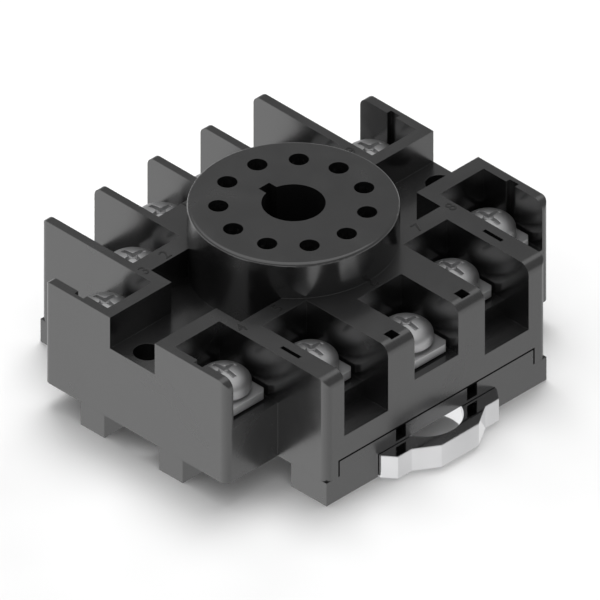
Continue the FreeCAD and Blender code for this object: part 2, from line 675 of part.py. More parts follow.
def build_base():
    """The base: a plate in the housing's underside, with feet, the fixed hook and the guides."""
    body = new_body("base")
    gap = s.base_gap
    wall = s.outer_wall + gap
    plan = mirrored([
        (front_face, inset_side - gap),
        (front_face - wall, inset_side - gap),
        (front_face - wall, body_side - wall),
        (s.front_wing_end - wall, body_side - wall),
        (s.front_wing_end - wall, wing_side - wall),
        (wall - s.rear_wing_end, wing_side - wall),
        (wall - s.rear_wing_end, body_side - wall),
        (rear_face + wall, body_side - wall),
        (rear_face + wall, inset_side - gap),
        (rear_face, inset_side - gap),
    ])
    pad(body, "plate", 0, s.base_plate, lambda sketch: outline(sketch, plan))
    slot_side = s.clip_width / 2 + s.clip_gap

    def draw_feet(sketch):
        rectangle(sketch, rear_face, rear_foot_front, -body_side, body_side)
        ear_low = wing_side - s.ear_depth

        def draw_side(side):
            rectangle(sketch, front_foot_back, front_face, slot_side * side, body_side * side)
            rectangle(sketch, s.ear_inner, s.ear_outer, ear_low * side, wing_side * side)
            rectangle(sketch, -s.ear_outer, -s.ear_inner, ear_low * side, wing_side * side)

        both_sides(draw_side)

    pad(body, "feet", -s.foot_drop, 0, draw_feet)
    hook_top = -(s.rail_lip + s.hook_gap)
    pad(body, "fixed_hook", s.hook_gap - s.foot_drop, hook_top,
        lambda sketch: rectangle(sketch, rear_foot_front - over, s.hook_reach - rail_edge,
                                 -s.hook_width / 2, s.hook_width / 2))
    post_back = spring_back() + s.spring_room
    half_post = s.spring_width / 2 - s.clip_gap

    def draw_spring_posts(sketch):
        both_sides(lambda side: rectangle(
            sketch, post_back, post_back + s.spring_post,
            s.spring_spread / 2 * side - half_post, s.spring_spread / 2 * side + half_post))

    post_low = s.clip_gap * 2 + s.pocket_floor - s.foot_drop
    pad(body, "spring_posts", post_low, s.base_plate, draw_spring_posts)
    pin_x = s.pin_circle / 2
    first_post = pad(body, "contact_post", s.base_plate - gap, s.bay_floor - s.post_gap,
                     lambda sketch: square(sketch, pin_x, 0, s.post_size))
    ring = body.newObject("PartDesign::PolarPattern", "contact_posts")
    ring.Originals = [first_post]
    ring.Axis = (axis_plane(body, "Z_Axis"), [""])
    ring.Angle = 360.0
    ring.Occurrences = PIN_COUNT
    body.Tip = ring

    def draw_column_holes(sketch):
        reach = s.fixing_hole + s.fixing_wall + gap
        inner = s.fixing_spread / 2 - reach
        both_sides(lambda side: rectangle(sketch, -reach, reach, inner * side, wing_side * side))

    pocket(body, "column_holes", s.base_plate, -over, draw_column_holes)

    def draw_vents(sketch):
        half = s.vent_width / 2
        middle = s.vent_spread / 2
        both_sides(lambda side: rectangle(sketch, front_face - s.vent_depth, front_face + over,
                                          middle * side - half, middle * side + half))

    pocket(body, "front_slots", s.base_plate, s.vent_floor, draw_vents)
    groove_high = tongue_low() + s.tongue_height + s.clip_gap
    groove_low = tongue_low() - s.clip_gap
    groove_side = slot_side + s.tongue_width
    groove_end = front_foot_back + s.clip_gap + s.tongue_length + s.clip_travel

    def draw_guides(sketch):
        both_sides(lambda side: rectangle(sketch, front_foot_back - over, groove_end,
                                          (slot_side - s.clip_gap) * side, groove_side * side))

    pocket(body, "clip_guides", groove_high, groove_low, draw_guides)

    def draw_screw_holes(sketch):
        for x, y in base_screw_places():
            circle(sketch, x, y, s.base_screw + gap)

    pocket(body, "screw_holes", s.base_plate, -over, draw_screw_holes)
    doc.recompute()
    names = []
    for index, edge in enumerate(body.Shape.Edges, start=1):
        if isinstance(edge.Curve, Part.Circle) and near(edge.Curve.Radius, s.base_screw + gap):
            if near(edge.Curve.Center.z, 0):
                names.append(f"Edge{index}")
    sink = body.newObject("PartDesign::Chamfer", "countersinks")
    sink.Base = (sink.BaseFeature, names)
    bind(sink, "Size", s.base_screw_head - s.base_screw)
    return body


def tongue_low():
    """Underside of the clip's guide tongues."""
    return -(s.foot_drop / 2 + s.tongue_height / 2)


def spring_back():
    """X of the wall of the clip that pushes the springs."""
    return rail_edge + s.hook_gap + s.clip_bar


def build_clip():
    """The release clip, which slides out of the base's front against its springs."""
    body = new_body("rail_clip")
    top = -s.clip_gap
    low = s.clip_gap / 2 - s.foot_drop
    half = s.clip_width / 2
    back = rail_edge + s.hook_gap
    plan = mirrored([
        (front_face + s.clip_nose, s.clip_nose_width / 2),
        (front_face + s.clip_shoulder, s.clip_shoulder_width / 2),
        (front_face + s.clip_shoulder, s.clip_heel_width / 2),
        (front_face + s.clip_heel, half),
        (back, half),
    ])
    pad(body, "slider", low, top, lambda sketch: outline(sketch, plan))
    toe_top = -(s.rail_lip + s.hook_gap)
    toe_end = rail_edge - s.hook_reach
    pad(body, "toe", low + s.hook_gap, toe_top,
        lambda sketch: rectangle(sketch, toe_end, back + over,
                                 -s.clip_toe_width / 2, s.clip_toe_width / 2))
    tongue_back = front_foot_back + s.clip_gap
    tongue_side = half + s.tongue_width - s.clip_gap

    def draw_tongues(sketch):
        both_sides(lambda side: rectangle(sketch, tongue_back, tongue_back + s.tongue_length,
                                          (half - over) * side, tongue_side * side))

    pad(body, "tongues", tongue_low(), tongue_low() + s.tongue_height, draw_tongues)
    window_x = front_face + s.clip_nose - s.clip_window_inset - s.clip_window
    pocket(body, "window", top, low - over,
           lambda sketch: circle(sketch, window_x, 0, s.clip_window))
    pocket_front = spring_back() + s.spring_room + s.spring_post + s.clip_gap

    def draw_pockets(sketch):
        side_half = s.spring_width / 2 + s.clip_gap
        both_sides(lambda side: rectangle(
            sketch, spring_back(), pocket_front,
            s.spring_spread / 2 * side - side_half, s.spring_spread / 2 * side + side_half))

    pocket(body, "spring_pockets", top, low + s.pocket_floor, draw_pockets)
    doc.recompute()

    def toe_nose(start, end):
        edge_x = near(start.x, toe_end) and near(end.x, toe_end)
        edge_z = near(start.z, low + s.hook_gap) and near(end.z, low + s.hook_gap)
        return edge_x and edge_z

    ramp = body.newObject("PartDesign::Chamfer", "snap_ramp")
    ramp.Base = (ramp.BaseFeature, edges_where(body.Shape, toe_nose))
    bind(ramp, "Size", s.hook_reach / 2)
    return body


def place_at(item, x, y, z, turned=False):
    """Bind an item's place, and turn it half round where it faces the rear."""
    angle = 180 if turned else 0
    item.Placement = FreeCAD.Placement(FreeCAD.Vector(), FreeCAD.Rotation(FreeCAD.Vector(0, 0, 1), angle))
    bind(item, "Placement.Base.x", x)
    bind(item, "Placement.Base.y", y)
    bind(item, "Placement.Base.z", z)


def build_screws():
    """The terminal screws: a shank under a domed head, turned from one profile."""
    profile = doc.addObject("Sketcher::SketchObject", "screw_profile")
    profile.Placement = FreeCAD.Placement(FreeCAD.Vector(), FreeCAD.Rotation(FreeCAD.Vector(1, 0, 0), 90))
    shoulder = s.head_radius - s.head_shoulder
    outline(profile, [
        (0, s.head_height), (0, -s.screw_length), (s.screw_radius, -s.screw_length),
        (s.screw_radius, 0), (s.head_radius, 0), (s.head_radius, s.head_side),
        (shoulder, s.head_shoulder_height), (shoulder / 2, s.head_height),
    ])
    screws = []
    for number, (x, back, y) in enumerate(TERMINALS, start=1):
        screw = doc.addObject("Part::Revolution", f"terminal_screw_{number}")
        screw.Label = screw.Name
        screw.Source = profile
        screw.Axis = FreeCAD.Vector(0, 0, 1)
        screw.Solid = True
        place_at(screw, x, y, plate_top)
        screws.append(screw)
    return screws


def build_plates():
    """The clamp plates: one stamped outline, with two cut corners towards the wire."""
    profile = doc.addObject("Sketcher::SketchObject", "plate_outline")
    half = s.plate_size / 2
    cut = s.plate_corner
    outline(profile, mirrored([
        (half, half - cut), (half - cut, half), (-half, half),
    ]))
    circle(profile, 0, 0, s.screw_radius + s.plate_hole_gap)
    plates = []
    for number, (x, back, y) in enumerate(TERMINALS, start=1):
        plate = doc.addObject("Part::Extrusion", f"clamp_plate_{number}")
        plate.Label = plate.Name
        plate.Base = profile
        plate.DirMode = "Custom"
        plate.Dir = FreeCAD.Vector(0, 0, 1)
        plate.Solid = True
        bind(plate, "LengthFwd", s.plate_thickness)
        place_at(plate, x, y, pad_top, turned=x.number < 0)
        plates.append(plate)
    return plates


def ribbon(points, width, low, thickness):
    """A flat strip along straight runs, with round bends."""
    pieces = []
    for start, end in zip(points, points[1:]):
        run = end - start
        length = run.Length
        piece = Part.makeBox(length, width, thickness, FreeCAD.Vector(0, -width / 2, 0))
        piece.rotate(FreeCAD.Vector(), FreeCAD.Vector(0, 0, 1), math.degrees(math.atan2(run.y, run.x)))
        piece.translate(FreeCAD.Vector(start.x, start.y, low))
        pieces.append(piece)
    for point in points[1:]:
        pieces.append(Part.makeCylinder(width / 2, thickness, FreeCAD.Vector(point.x, point.y, low)))
    return pieces


def upright_box(x, y, size, low, height):
    """A square block that stands round an upright axis."""
    return Part.makeBox(size, size, height, FreeCAD.Vector(x - size / 2, y - size / 2, low))


def pin_clasp(pin, angle):
    """The two-leaved spring clasp over one pin's place, and what is cut out of it."""
    low = s.bay_floor.number
    floor = low + s.strip.number
    top = s.receptacle_top.number - s.top_plate.number - s.clasp_gap.number
    size = s.clasp_size.number
    clasp = upright_box(0, 0, size, low, top - low)
    room = upright_box(0, 0, s.clasp_room.number, floor, top - floor)
    reach = size / 2 + over
    leaf = s.clasp_leaf.number
    slit_corner = FreeCAD.Vector(-reach, -s.clasp_slit.number / 2, top - leaf)
    slit = Part.makeBox(2 * reach, s.clasp_slit.number, leaf, slit_corner)
    for piece in (clasp, room, slit):
        piece.rotate(FreeCAD.Vector(), FreeCAD.Vector(0, 0, 1), math.degrees(angle))
        piece.translate(pin)
    return clasp, [room, slit]


def build_contacts():
    """The contacts: a pad on a square nut, a strip through the housing and a clasp for the pin."""
    low = s.bay_floor.number
    thickness = s.strip.number
    width = s.strip_width.number
    from_back = s.outer_wall.number + width / 2 + 2 * s.pad_gap.number
    pin_radius = s.pin_circle.number / 2
    contacts = []
    for number, (x, back, y) in enumerate(TERMINALS, start=1):
        way = 1 if x.number > 0 else -1
        angle = math.radians((number - (PIN_COUNT + 1) / 2) * PIN_STEP)
        pin = FreeCAD.Vector(pin_radius * math.cos(angle), pin_radius * math.sin(angle), 0)
        in_wing = abs(y.number) == wing_y.number
        inward = (s.pad_size.number - width) / 2
        leave = y.number - math.copysign(inward, y.number) if in_wing else y.number
        bend = FreeCAD.Vector(back.number - way * from_back, leave, 0)
        route = [FreeCAD.Vector(x.number - inward * way, leave, 0), bend]
        if in_wing:
            route.append(FreeCAD.Vector(bend.x, math.copysign(s.valley_width.number / 2, y.number), 0))
        clasp, cuts = pin_clasp(pin, angle)
        nut_low = low - s.nut_depth.number
        pieces = [upright_box(x.number, y.number, s.pad_size.number, low, thickness),
                  upright_box(x.number, y.number, s.nut_size.number, nut_low, s.nut_depth.number), clasp]
        pieces += ribbon(route + [pin], width, low, thickness)
        thread = Part.makeCylinder(s.screw_radius.number + s.thread_gap.number,
                                   s.nut_depth.number + thickness,
                                   FreeCAD.Vector(x.number, y.number, nut_low))
        shape = pieces[0].multiFuse(pieces[1:]).cut(cuts + [thread]).removeSplitter()
        contact = doc.addObject("Part::Feature", f"contact_{number}")
        contact.Label = contact.Name
        contact.Shape = shape.Solids[0] if len(shape.Solids) == 1 else shape
        contacts.append(contact)
    return contacts


def build_base_screws():
    """Four equal countersunk screws, driven up through the base."""
    screws = []
    for number, (x, y) in enumerate(base_screw_places(), start=1):
        head = doc.addObject("Part::Cone", f"base_screw_head_{number}")
        bind(head, "Radius1", s.base_screw_head)
        bind(head, "Radius2", s.base_screw)
        bind(head, "Height", s.base_screw_head - s.base_screw)
        place_at(head, x, y, 0)
        shank = doc.addObject("Part::Cylinder", f"base_screw_shank_{number}")
        bind(shank, "Radius", s.base_screw)
        bind(shank, "Height", s.base_screw_length)
        place_at(shank, x, y, 0)
        screw = doc.addObject("Part::Fuse", f"base_screw_{number}")
        screw.Base = head
        screw.Tool = shank
        screws.append(screw)
    group = doc.addObject("Part::Compound", "base_screws")
    group.Label = "base_screws"
    group.Links = screws
    return group


def build_springs():
    """Two strips bent in zigzag between the clip and the base's posts."""
    leaf = s.spring_leaf.number
    swing = s.spring_width.number / 2 - leaf / 2
    step = (s.spring_room.number - leaf) / SPRING_FOLDS
    first = spring_back().number + leaf / 2
    low = 2 * s.clip_gap.number + s.pocket_floor.number - s.foot_drop.number
    height = s.spring_height.number
    springs = []
    for number, side in enumerate((-1, 1), start=1):
        middle = side * s.spring_spread.number / 2
        turns = range(SPRING_FOLDS + 1)
        path = [FreeCAD.Vector(first + step * i, middle + swing * (-1) ** i, 0) for i in turns]
        pieces = ribbon(path, leaf, low, height)
        end = Part.makeCylinder(leaf / 2, height, FreeCAD.Vector(path[0].x, path[0].y, low))
        spring = doc.addObject("Part::Feature", f"clip_spring_{number}")
        spring.Label = spring.Name
        spring.Shape = end.multiFuse(pieces).removeSplitter()
        springs.append(spring)
    return springs


def check_document():
    """Stop if any object failed to build."""
    for item in doc.Objects:
        faults = [state for state in item.State if state in ("Invalid", "Error")]
        if faults:
            raise RuntimeError(f"{item.Label} did not build: {faults}")


nodes = [build_housing(), build_base(), build_clip(), build_base_screws()]
nodes += build_springs()
nodes += build_screws()
nodes += build_plates()
nodes += build_contacts()
doc.recompute()
check_document()
for node in nodes:
    if node.Shape.isNull() or not node.Shape.isValid():
        raise RuntimeError(f"{node.Label} has no valid shape")
    print(node.Label, len(node.Shape.Solids), f"{node.Shape.Volume:.2f}")

os.makedirs("parts", exist_ok=True)
for node in nodes:
    node.Shape.exportStep(os.path.join("parts", node.Label + ".step"))
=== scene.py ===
import logging
import math
from dataclasses import dataclass, field
from enum import Enum
from typing import Any, Iterable, Sequence

import bmesh
import bpy
from bpy.types import Material, Mesh, Node, NodeSocket, NodeTree, Object
from mathutils import Matrix, Vector


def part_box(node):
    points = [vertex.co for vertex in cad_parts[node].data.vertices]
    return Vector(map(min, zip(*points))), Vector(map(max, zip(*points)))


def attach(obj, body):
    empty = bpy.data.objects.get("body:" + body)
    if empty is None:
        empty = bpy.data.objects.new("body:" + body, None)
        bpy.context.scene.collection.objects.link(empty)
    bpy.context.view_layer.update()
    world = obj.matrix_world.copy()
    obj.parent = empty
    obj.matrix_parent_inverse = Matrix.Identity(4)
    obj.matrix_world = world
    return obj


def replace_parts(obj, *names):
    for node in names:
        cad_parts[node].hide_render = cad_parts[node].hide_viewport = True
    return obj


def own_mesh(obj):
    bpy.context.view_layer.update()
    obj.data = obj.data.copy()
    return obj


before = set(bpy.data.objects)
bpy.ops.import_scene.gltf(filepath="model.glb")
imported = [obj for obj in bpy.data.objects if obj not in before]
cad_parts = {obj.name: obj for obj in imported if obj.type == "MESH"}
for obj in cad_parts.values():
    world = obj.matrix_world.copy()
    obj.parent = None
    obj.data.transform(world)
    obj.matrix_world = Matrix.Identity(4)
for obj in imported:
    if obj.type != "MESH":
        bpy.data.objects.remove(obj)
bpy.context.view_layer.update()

# The looks of an eleven-pin relay socket: black glossy moulding with painted shadow strips in the
# base's joint, plated screws and clamp plates, a bright plated release clip, zigzag springs and
# small terminal numbers, on a pale floor.
# Lengths are in millimetres where a name ends in _mm, and in metres elsewhere.

MM = 0.001
WELD = 0.002 * MM
ZERO = (0.0, 0.0, 0.0)
TERMINALS = 11
LOG = logging.getLogger("relay_socket")
Colour = tuple[float, float, float]
Triple = tuple[float, float, float]
Span = tuple[float, float]
SOCKET_OF = {int: "NodeSocketInt", float: "NodeSocketFloat", tuple: "NodeSocketVector"}


class Way(Enum):
    """The way along X that a face or a terminal looks."""

    FRONT = 1
    REAR = -1


class Sheen(Enum):
    """What a surface is."""

    MOULDED = "moulded"
    METAL = "metal"


class NodeSheet:
    """A node tree that is being drawn up, for a shader or for geometry."""

    def __init__(self, tree: NodeTree) -> None:
        """Keep the tree that the nodes go into."""
        self.tree = tree

    def add(self, kind: str, inputs: dict[str | int, Any] | None = None, **settings: Any) -> Node:
        """Add one node.

        Args:
            kind: Blender's name for the node's type.
            inputs: a value or another node's output for each input, by name or number.
            **settings: the node's own properties.

        Returns:
            The node.
        """
        node = self.tree.nodes.new(kind)
        for name, value in settings.items():
            setattr(node, name, value)
        for key, value in (inputs or {}).items():
            self.feed(node.inputs[key], value)
        return node

    def feed(self, socket: NodeSocket, value: Any) -> None:
        """Link an output to a socket, or set the socket's own value.

        Args:
            socket: the input.
            value: an output socket, or a plain value.
        """
        if isinstance(value, NodeSocket):
            self.tree.links.new(value, socket)
        else:
            socket.default_value = value

    def math(self, operation: str, *values: Any) -> NodeSocket:
        """Work out one number.

        Args:
            operation: the Math node's operation.
            *values: its one to three inputs.

        Returns:
            The result's socket.
        """
        node = self.add("ShaderNodeMath", operation=operation)
        for index, value in enumerate(values):
            self.feed(node.inputs[index], value)
        return node.outputs[0]

    def times(self, first: Any, second: Any) -> NodeSocket:
        """The product of two numbers."""
        return self.math("MULTIPLY", first, second)

    def plus(self, first: Any, second: Any) -> NodeSocket:
        """The sum of two numbers."""
        return self.math("ADD", first, second)

    def minus(self, first: Any, second: Any) -> NodeSocket:
        """The first number less the second."""
        return self.math("SUBTRACT", first, second)

    def span(self, value: Any, low: Any, high: Any, to_low: Any, to_high: Any) -> NodeSocket:
        """Map one range onto another, held at its ends.

        Args:
            value: the number to map.
            low: the start of its range.
            high: the end of its range.
            to_low: what the start becomes.
            to_high: what the end becomes.

        Returns:
            The result's socket.
        """
        node = self.add("ShaderNodeMapRange", clamp=True)
        for index, item in enumerate((value, low, high, to_low, to_high)):
            self.feed(node.inputs[index], item)
        return node.outputs[0]

    def point(self, x: Any = 0.0, y: Any = 0.0, z: Any = 0.0) -> NodeSocket:
        """Three numbers as a vector."""
        return self.add("ShaderNodeCombineXYZ", {0: x, 1: y, 2: z}).outputs[0]

    def mixed(self, share: Any, first: Any, second: Any) -> NodeSocket:
        """A colour between two, by the share of the second; the node's colours are its sockets 6, 7 and 2."""
        return self.add("ShaderNodeMix", {"Factor": share, 6: first, 7: second}, data_type="RGBA").outputs[2]

    def noise(self, where: NodeSocket, scale: Any, detail: float, **more: float) -> NodeSocket:
        """Noise from 0 to 1.

        Args:
            where: the place that it is read at.
            scale: how fine it is.
            detail: how many finer layers it has.
            **more: the node's other inputs, by name.

        Returns:
            The noise.
        """
        inputs = {"Vector": where, "Scale": scale, "Detail": detail, **more}
        return self.add("ShaderNodeTexNoise", inputs).outputs["Fac"]

    def spot(self) -> NodeSocket:
        """The place on the piece, in its own coordinates."""
        return self.add("ShaderNodeTexCoord").outputs["Object"]


class NamedTree(NodeSheet):
    """A node tree with named inputs."""

    def __init__(self, name: str, kind: str, inputs: dict[str, Any], outputs: dict[str, Any]) -> None:
        """Start the tree.

        Args:
            name: its name.
            kind: Blender's name for its type.
            inputs: each input's value, or its socket type where it has no value of its own.
            outputs: each output's value or socket type.
        """
        super().__init__(bpy.data.node_groups.new(name, kind))
        self.identifiers: dict[str, str] = {}
        for side, sockets in (("OUTPUT", outputs), ("INPUT", inputs)):
            for label, value in sockets.items():
                typed = isinstance(value, str)
                socket = self.tree.interface.new_socket(
                    label, in_out=side, socket_type=value if typed else SOCKET_OF[type(value)])
                if not typed:
                    socket.default_value = value
                self.identifiers[label] = socket.identifier
        self.inlet = self.tree.nodes.new("NodeGroupInput")
        self.outlet = self.tree.nodes.new("NodeGroupOutput")

    def given(self, label: str) -> NodeSocket:
        """One of the tree's inputs, seen from inside."""
        return self.inlet.outputs[label]

    def put(self, label: str, value: NodeSocket) -> None:
        """Send a value out of the tree under a name."""
        self.tree.links.new(value, self.outlet.inputs[label])


@dataclass
class Workshop:
    """The shared surface effects: edges, grain and handling marks."""

    bevel_samples: int = 6
    rubbed: Span = (0.02, 0.22)
    patch_scale: float = 900.0
    patch_detail: float = 3.0
    patch_fade: Span = (0.35, 0.65)
    fine_detail: float = 4.0
    fine_roughness: float = 0.6
    slow_share: float = 0.06
    slow_detail: float = 2.0
    mottle_fade: Span = (0.3, 0.7)
    mark_scale: float = 90.0
    mark_detail: float = 5.0
    mark_roughness: float = 0.55
    mark_swirl: float = 1.4
    mark_fade: Span = (0.45, 0.7)
    edges: NodeTree = field(init=False)
    grain: NodeTree = field(init=False)
    marks: NodeTree = field(init=False)

    def __post_init__(self) -> None:
        """Build the three groups."""
        self.edges = self.build_edges()
        self.grain = self.build_grain()
        self.marks = self.build_marks()

    def build_edges(self) -> NodeTree:
        """Small rounded edges, and a mask of where they rub.

        Returns:
            The group, with the rounded Normal and the Edge mask.
        """
        inputs = {"Radius": Finish.edge_radius, "Patchiness": Finish.edge_patchiness}
        group = NamedTree("edge_wear", "ShaderNodeTree", inputs, {"Normal": ZERO, "Edge": 0.0})
        bevel = group.add("ShaderNodeBevel", {"Radius": group.given("Radius")}, samples=self.bevel_samples)
        flat = group.add("ShaderNodeNewGeometry")
        agreement = group.add("ShaderNodeVectorMath", {0: bevel.outputs["Normal"], 1: flat.outputs["Normal"]},
                              operation="DOT_PRODUCT")
        turned = group.minus(1.0, agreement.outputs["Value"])
        edge = group.span(turned, *self.rubbed, 0.0, 1.0)
        noise = group.noise(group.spot(), self.patch_scale, self.patch_detail)
        patch = group.span(noise, *self.patch_fade, 0.0, 1.0)
        patchiness = group.given("Patchiness")
        kept = group.math("MULTIPLY_ADD", patch, patchiness, group.minus(1.0, patchiness))
        group.put("Normal", bevel.outputs["Normal"])
        group.put("Edge", group.times(edge, kept))
        return group.tree

    def build_grain(self) -> NodeTree:
        """The fine skin of a moulding or of plating.

        Returns:
            The group, with a Height for bump and a slow Mottle from 0 to 1.
        """
        inputs = {"Scale": Finish.grain_scale, "Flow": Finish.flow}
        group = NamedTree("surface_grain", "ShaderNodeTree", inputs, {"Height": 0.0, "Mottle": 0.0})
        drawn = group.add("ShaderNodeVectorMath", {0: group.spot(), 1: group.given("Flow")},
                          operation="MULTIPLY").outputs["Vector"]
        scale = group.given("Scale")
        slow = group.noise(drawn, group.times(scale, self.slow_share), self.slow_detail)
        group.put("Height", group.noise(drawn, scale, self.fine_detail, Roughness=self.fine_roughness))
        group.put("Mottle", group.span(slow, *self.mottle_fade, 0.0, 1.0))
        return group.tree

    def build_marks(self) -> NodeTree:
        """Faint handling marks that break up the gloss.

        Returns:
            The group, with a Mark mask from 0 to 1.
        """
        group = NamedTree("handling_marks", "ShaderNodeTree", {"Scale": self.mark_scale}, {"Mark": 0.0})
        swirl = group.noise(group.spot(), group.given("Scale"), self.mark_detail,
                            Roughness=self.mark_roughness, Distortion=self.mark_swirl)
        group.put("Mark", group.span(swirl, *self.mark_fade, 0.0, 1.0))
        return group.tree


@dataclass(frozen=True)
class Finish:
    """One finish of the socket, and how it is laid on."""

    name: str
    sheen: Sheen
    colour: Colour
    worn_colour: Colour
    gloss_roughness: float
    marked_roughness: float
    ior: float = 1.5
    edge_radius: float = 0.2 * MM
    edge_patchiness: float = 0.5
    edge_strength: float = 0.35
    grain_scale: float = 2500.0
    grain_bump: float = 0.04
    bump_depth: float = 0.1 * MM
    mottle_shade: float = 0.86
    mottle_roughness: float = 0.03
    flow: Triple = (1.0, 1.0, 1.0)
    turned: bool = False
    ring_scale: float = 9000.0
    ring_detail: float = 2.0

    def material(self, workshop: Workshop) -> Material:
        """Make the material.

        Args:
            workshop: the shared effects.

        Returns:
            The material, with its nodes.
        """
        made = bpy.data.materials.new(self.name)
        made.use_nodes = True
        sheet = NodeSheet(made.node_tree)
        shader = made.node_tree.nodes["Principled BSDF"]
        shader.inputs["Metallic"].default_value = 1.0 if self.sheen is Sheen.METAL else 0.0
        shader.inputs["IOR"].default_value = self.ior
        edges = sheet.add("ShaderNodeGroup", {
            "Radius": self.edge_radius, "Patchiness": self.edge_patchiness}, node_tree=workshop.edges)
        grain = sheet.add("ShaderNodeGroup", {"Scale": self.grain_scale, "Flow": self.flow},
                          node_tree=workshop.grain)
        marks = sheet.add("ShaderNodeGroup", node_tree=workshop.marks)
        mottle = grain.outputs["Mottle"]
        height = self.rings(sheet) if self.turned else grain.outputs["Height"]
        darker = tuple(channel * self.mottle_shade for channel in self.colour)
        tint = sheet.mixed(mottle, (*darker, 1.0), (*self.colour, 1.0))
        rubbed = sheet.times(edges.outputs["Edge"], self.edge_strength)
        sheet.feed(shader.inputs["Base Color"], sheet.mixed(rubbed, tint, (*self.worn_colour, 1.0)))
        rough = sheet.span(marks.outputs["Mark"], 0.0, 1.0, self.gloss_roughness, self.marked_roughness)
        sheet.feed(shader.inputs["Roughness"],
                   sheet.math("MULTIPLY_ADD", mottle, self.mottle_roughness, rough))
        bump = sheet.add("ShaderNodeBump", {
            "Strength": self.grain_bump, "Distance": self.bump_depth, "Height": height,
            "Normal": edges.outputs["Normal"]})
        sheet.feed(shader.inputs["Normal"], bump.outputs["Normal"])
        return made

    def rings(self, sheet: NodeSheet) -> NodeSocket:
        """Fine rings left by turning, round the piece's own axis.

        Args:
            sheet: the material's nodes.

        Returns:
            The rings' height.
        """
        own = sheet.add("ShaderNodeAttribute", attribute_name="turned")
        parts = sheet.add("ShaderNodeSeparateXYZ", {0: own.outputs["Vector"]})
        squares = [sheet.math("POWER", part, 2.0) for part in parts.outputs[:2]]
        radius = sheet.math("SQRT", sheet.plus(*squares))
        return sheet.noise(sheet.point(radius, 0.0, parts.outputs[2]), self.ring_scale, self.ring_detail)


BLACK_MOULDING = Finish("black_moulding", Sheen.MOULDED, (0.008, 0.008, 0.0082), (0.018, 0.018, 0.018),
                        gloss_roughness=0.19, marked_roughness=0.27, ior=2.1, edge_radius=0.05 * MM,
                        edge_strength=0.2, grain_scale=2200.0, grain_bump=0.02)
NUMBER_FACE = Finish("number_face", Sheen.MOULDED, (0.004, 0.004, 0.004), (0.01, 0.01, 0.01),
                     gloss_roughness=0.3, marked_roughness=0.4, ior=1.7, edge_radius=0.03 * MM,
                     grain_scale=5000.0, grain_bump=0.05)
# Painted shade: the near-black matt finish of the strips laid in the base's joint to stand for the shadow in
# that gap.
SEAM_SHADOW_PAINT = Finish("painted_seam_shadow", Sheen.MOULDED, (0.002, 0.002, 0.002), (0.003, 0.003, 0.003),
                   gloss_roughness=0.8, marked_roughness=0.9, ior=1.15, edge_radius=0.01 * MM,
                   edge_strength=0.1, grain_scale=4000.0)
CLIP_METAL = Finish("clip_metal", Sheen.METAL, (0.84, 0.84, 0.85), (0.92, 0.92, 0.92),
                    gloss_roughness=0.08, marked_roughness=0.16, edge_strength=0.3,
                    grain_scale=1800.0, grain_bump=0.02)
TERMINAL_STEEL = Finish("terminal_steel", Sheen.METAL, (0.72, 0.72, 0.725), (0.85, 0.85, 0.85),
                        gloss_roughness=0.46, marked_roughness=0.56, edge_radius=0.18 * MM,
                        edge_strength=0.6, grain_scale=3000.0, grain_bump=0.05)
TURNED_STEEL = Finish("turned_steel", Sheen.METAL, (0.6, 0.6, 0.605), (0.8, 0.8, 0.8),
                      gloss_roughness=0.46, marked_roughness=0.56, edge_radius=0.16 * MM,
                      edge_strength=0.5, grain_bump=0.08, turned=True)
FIXING_STEEL = Finish("fixing_steel", Sheen.METAL, (0.36, 0.36, 0.37), (0.6, 0.6, 0.6),
                      gloss_roughness=0.3, marked_roughness=0.42, edge_radius=0.08 * MM)
SPRING_STEEL = Finish("spring_steel", Sheen.METAL, (0.42, 0.42, 0.44), (0.6, 0.6, 0.6),
                      gloss_roughness=0.2, marked_roughness=0.3, edge_radius=0.04 * MM, flow=(1.0, 1.0, 0.1))
CONTACT_METAL = Finish("contact_metal", Sheen.METAL, (0.62, 0.618, 0.605), (0.75, 0.74, 0.72),
                       gloss_roughness=0.36, marked_roughness=0.46, edge_radius=0.1 * MM, edge_strength=0.5)
FLOOR_CARD = Finish("floor_card", Sheen.MOULDED, (0.86, 0.86, 0.86), (0.86, 0.86, 0.86),
                    gloss_roughness=0.7, marked_roughness=0.8, edge_radius=0.1 * MM, grain_scale=400.0,
                    grain_bump=0.0)


class Finishes:
    """The materials, each made once."""

    def __init__(self, workshop: Workshop) -> None:
        """Start with none made, and with the shared effects."""
        self.workshop = workshop
        self.made: dict[str, Material] = {}

    def of(self, finish: Finish) -> Material:
        """The material of a finish, made when it is first asked for."""
        if finish.name not in self.made:
            self.made[finish.name] = finish.material(self.workshop)
        return self.made[finish.name]


def put_in_scene(data: bpy.types.ID, material: Material | None = None) -> Object:
    """Make an object at the origin, under its data's own name.

    Args:
        data: a mesh, text, lamp or camera.
        material: what the whole mesh is made of, where it has none yet.

    Returns:
        The object.
    """
    if material:
        data.materials.append(material)
    made = bpy.data.objects.new(data.name, data)
    bpy.context.scene.collection.objects.link(made)
    return made


def shown_mesh(holder: Object) -> Mesh:
    """What an object shows, text and modifiers worked out, as a plain mesh."""
    bpy.context.view_layer.update()
    return bpy.data.meshes.new_from_object(holder.evaluated_get(bpy.context.evaluated_depsgraph_get()))


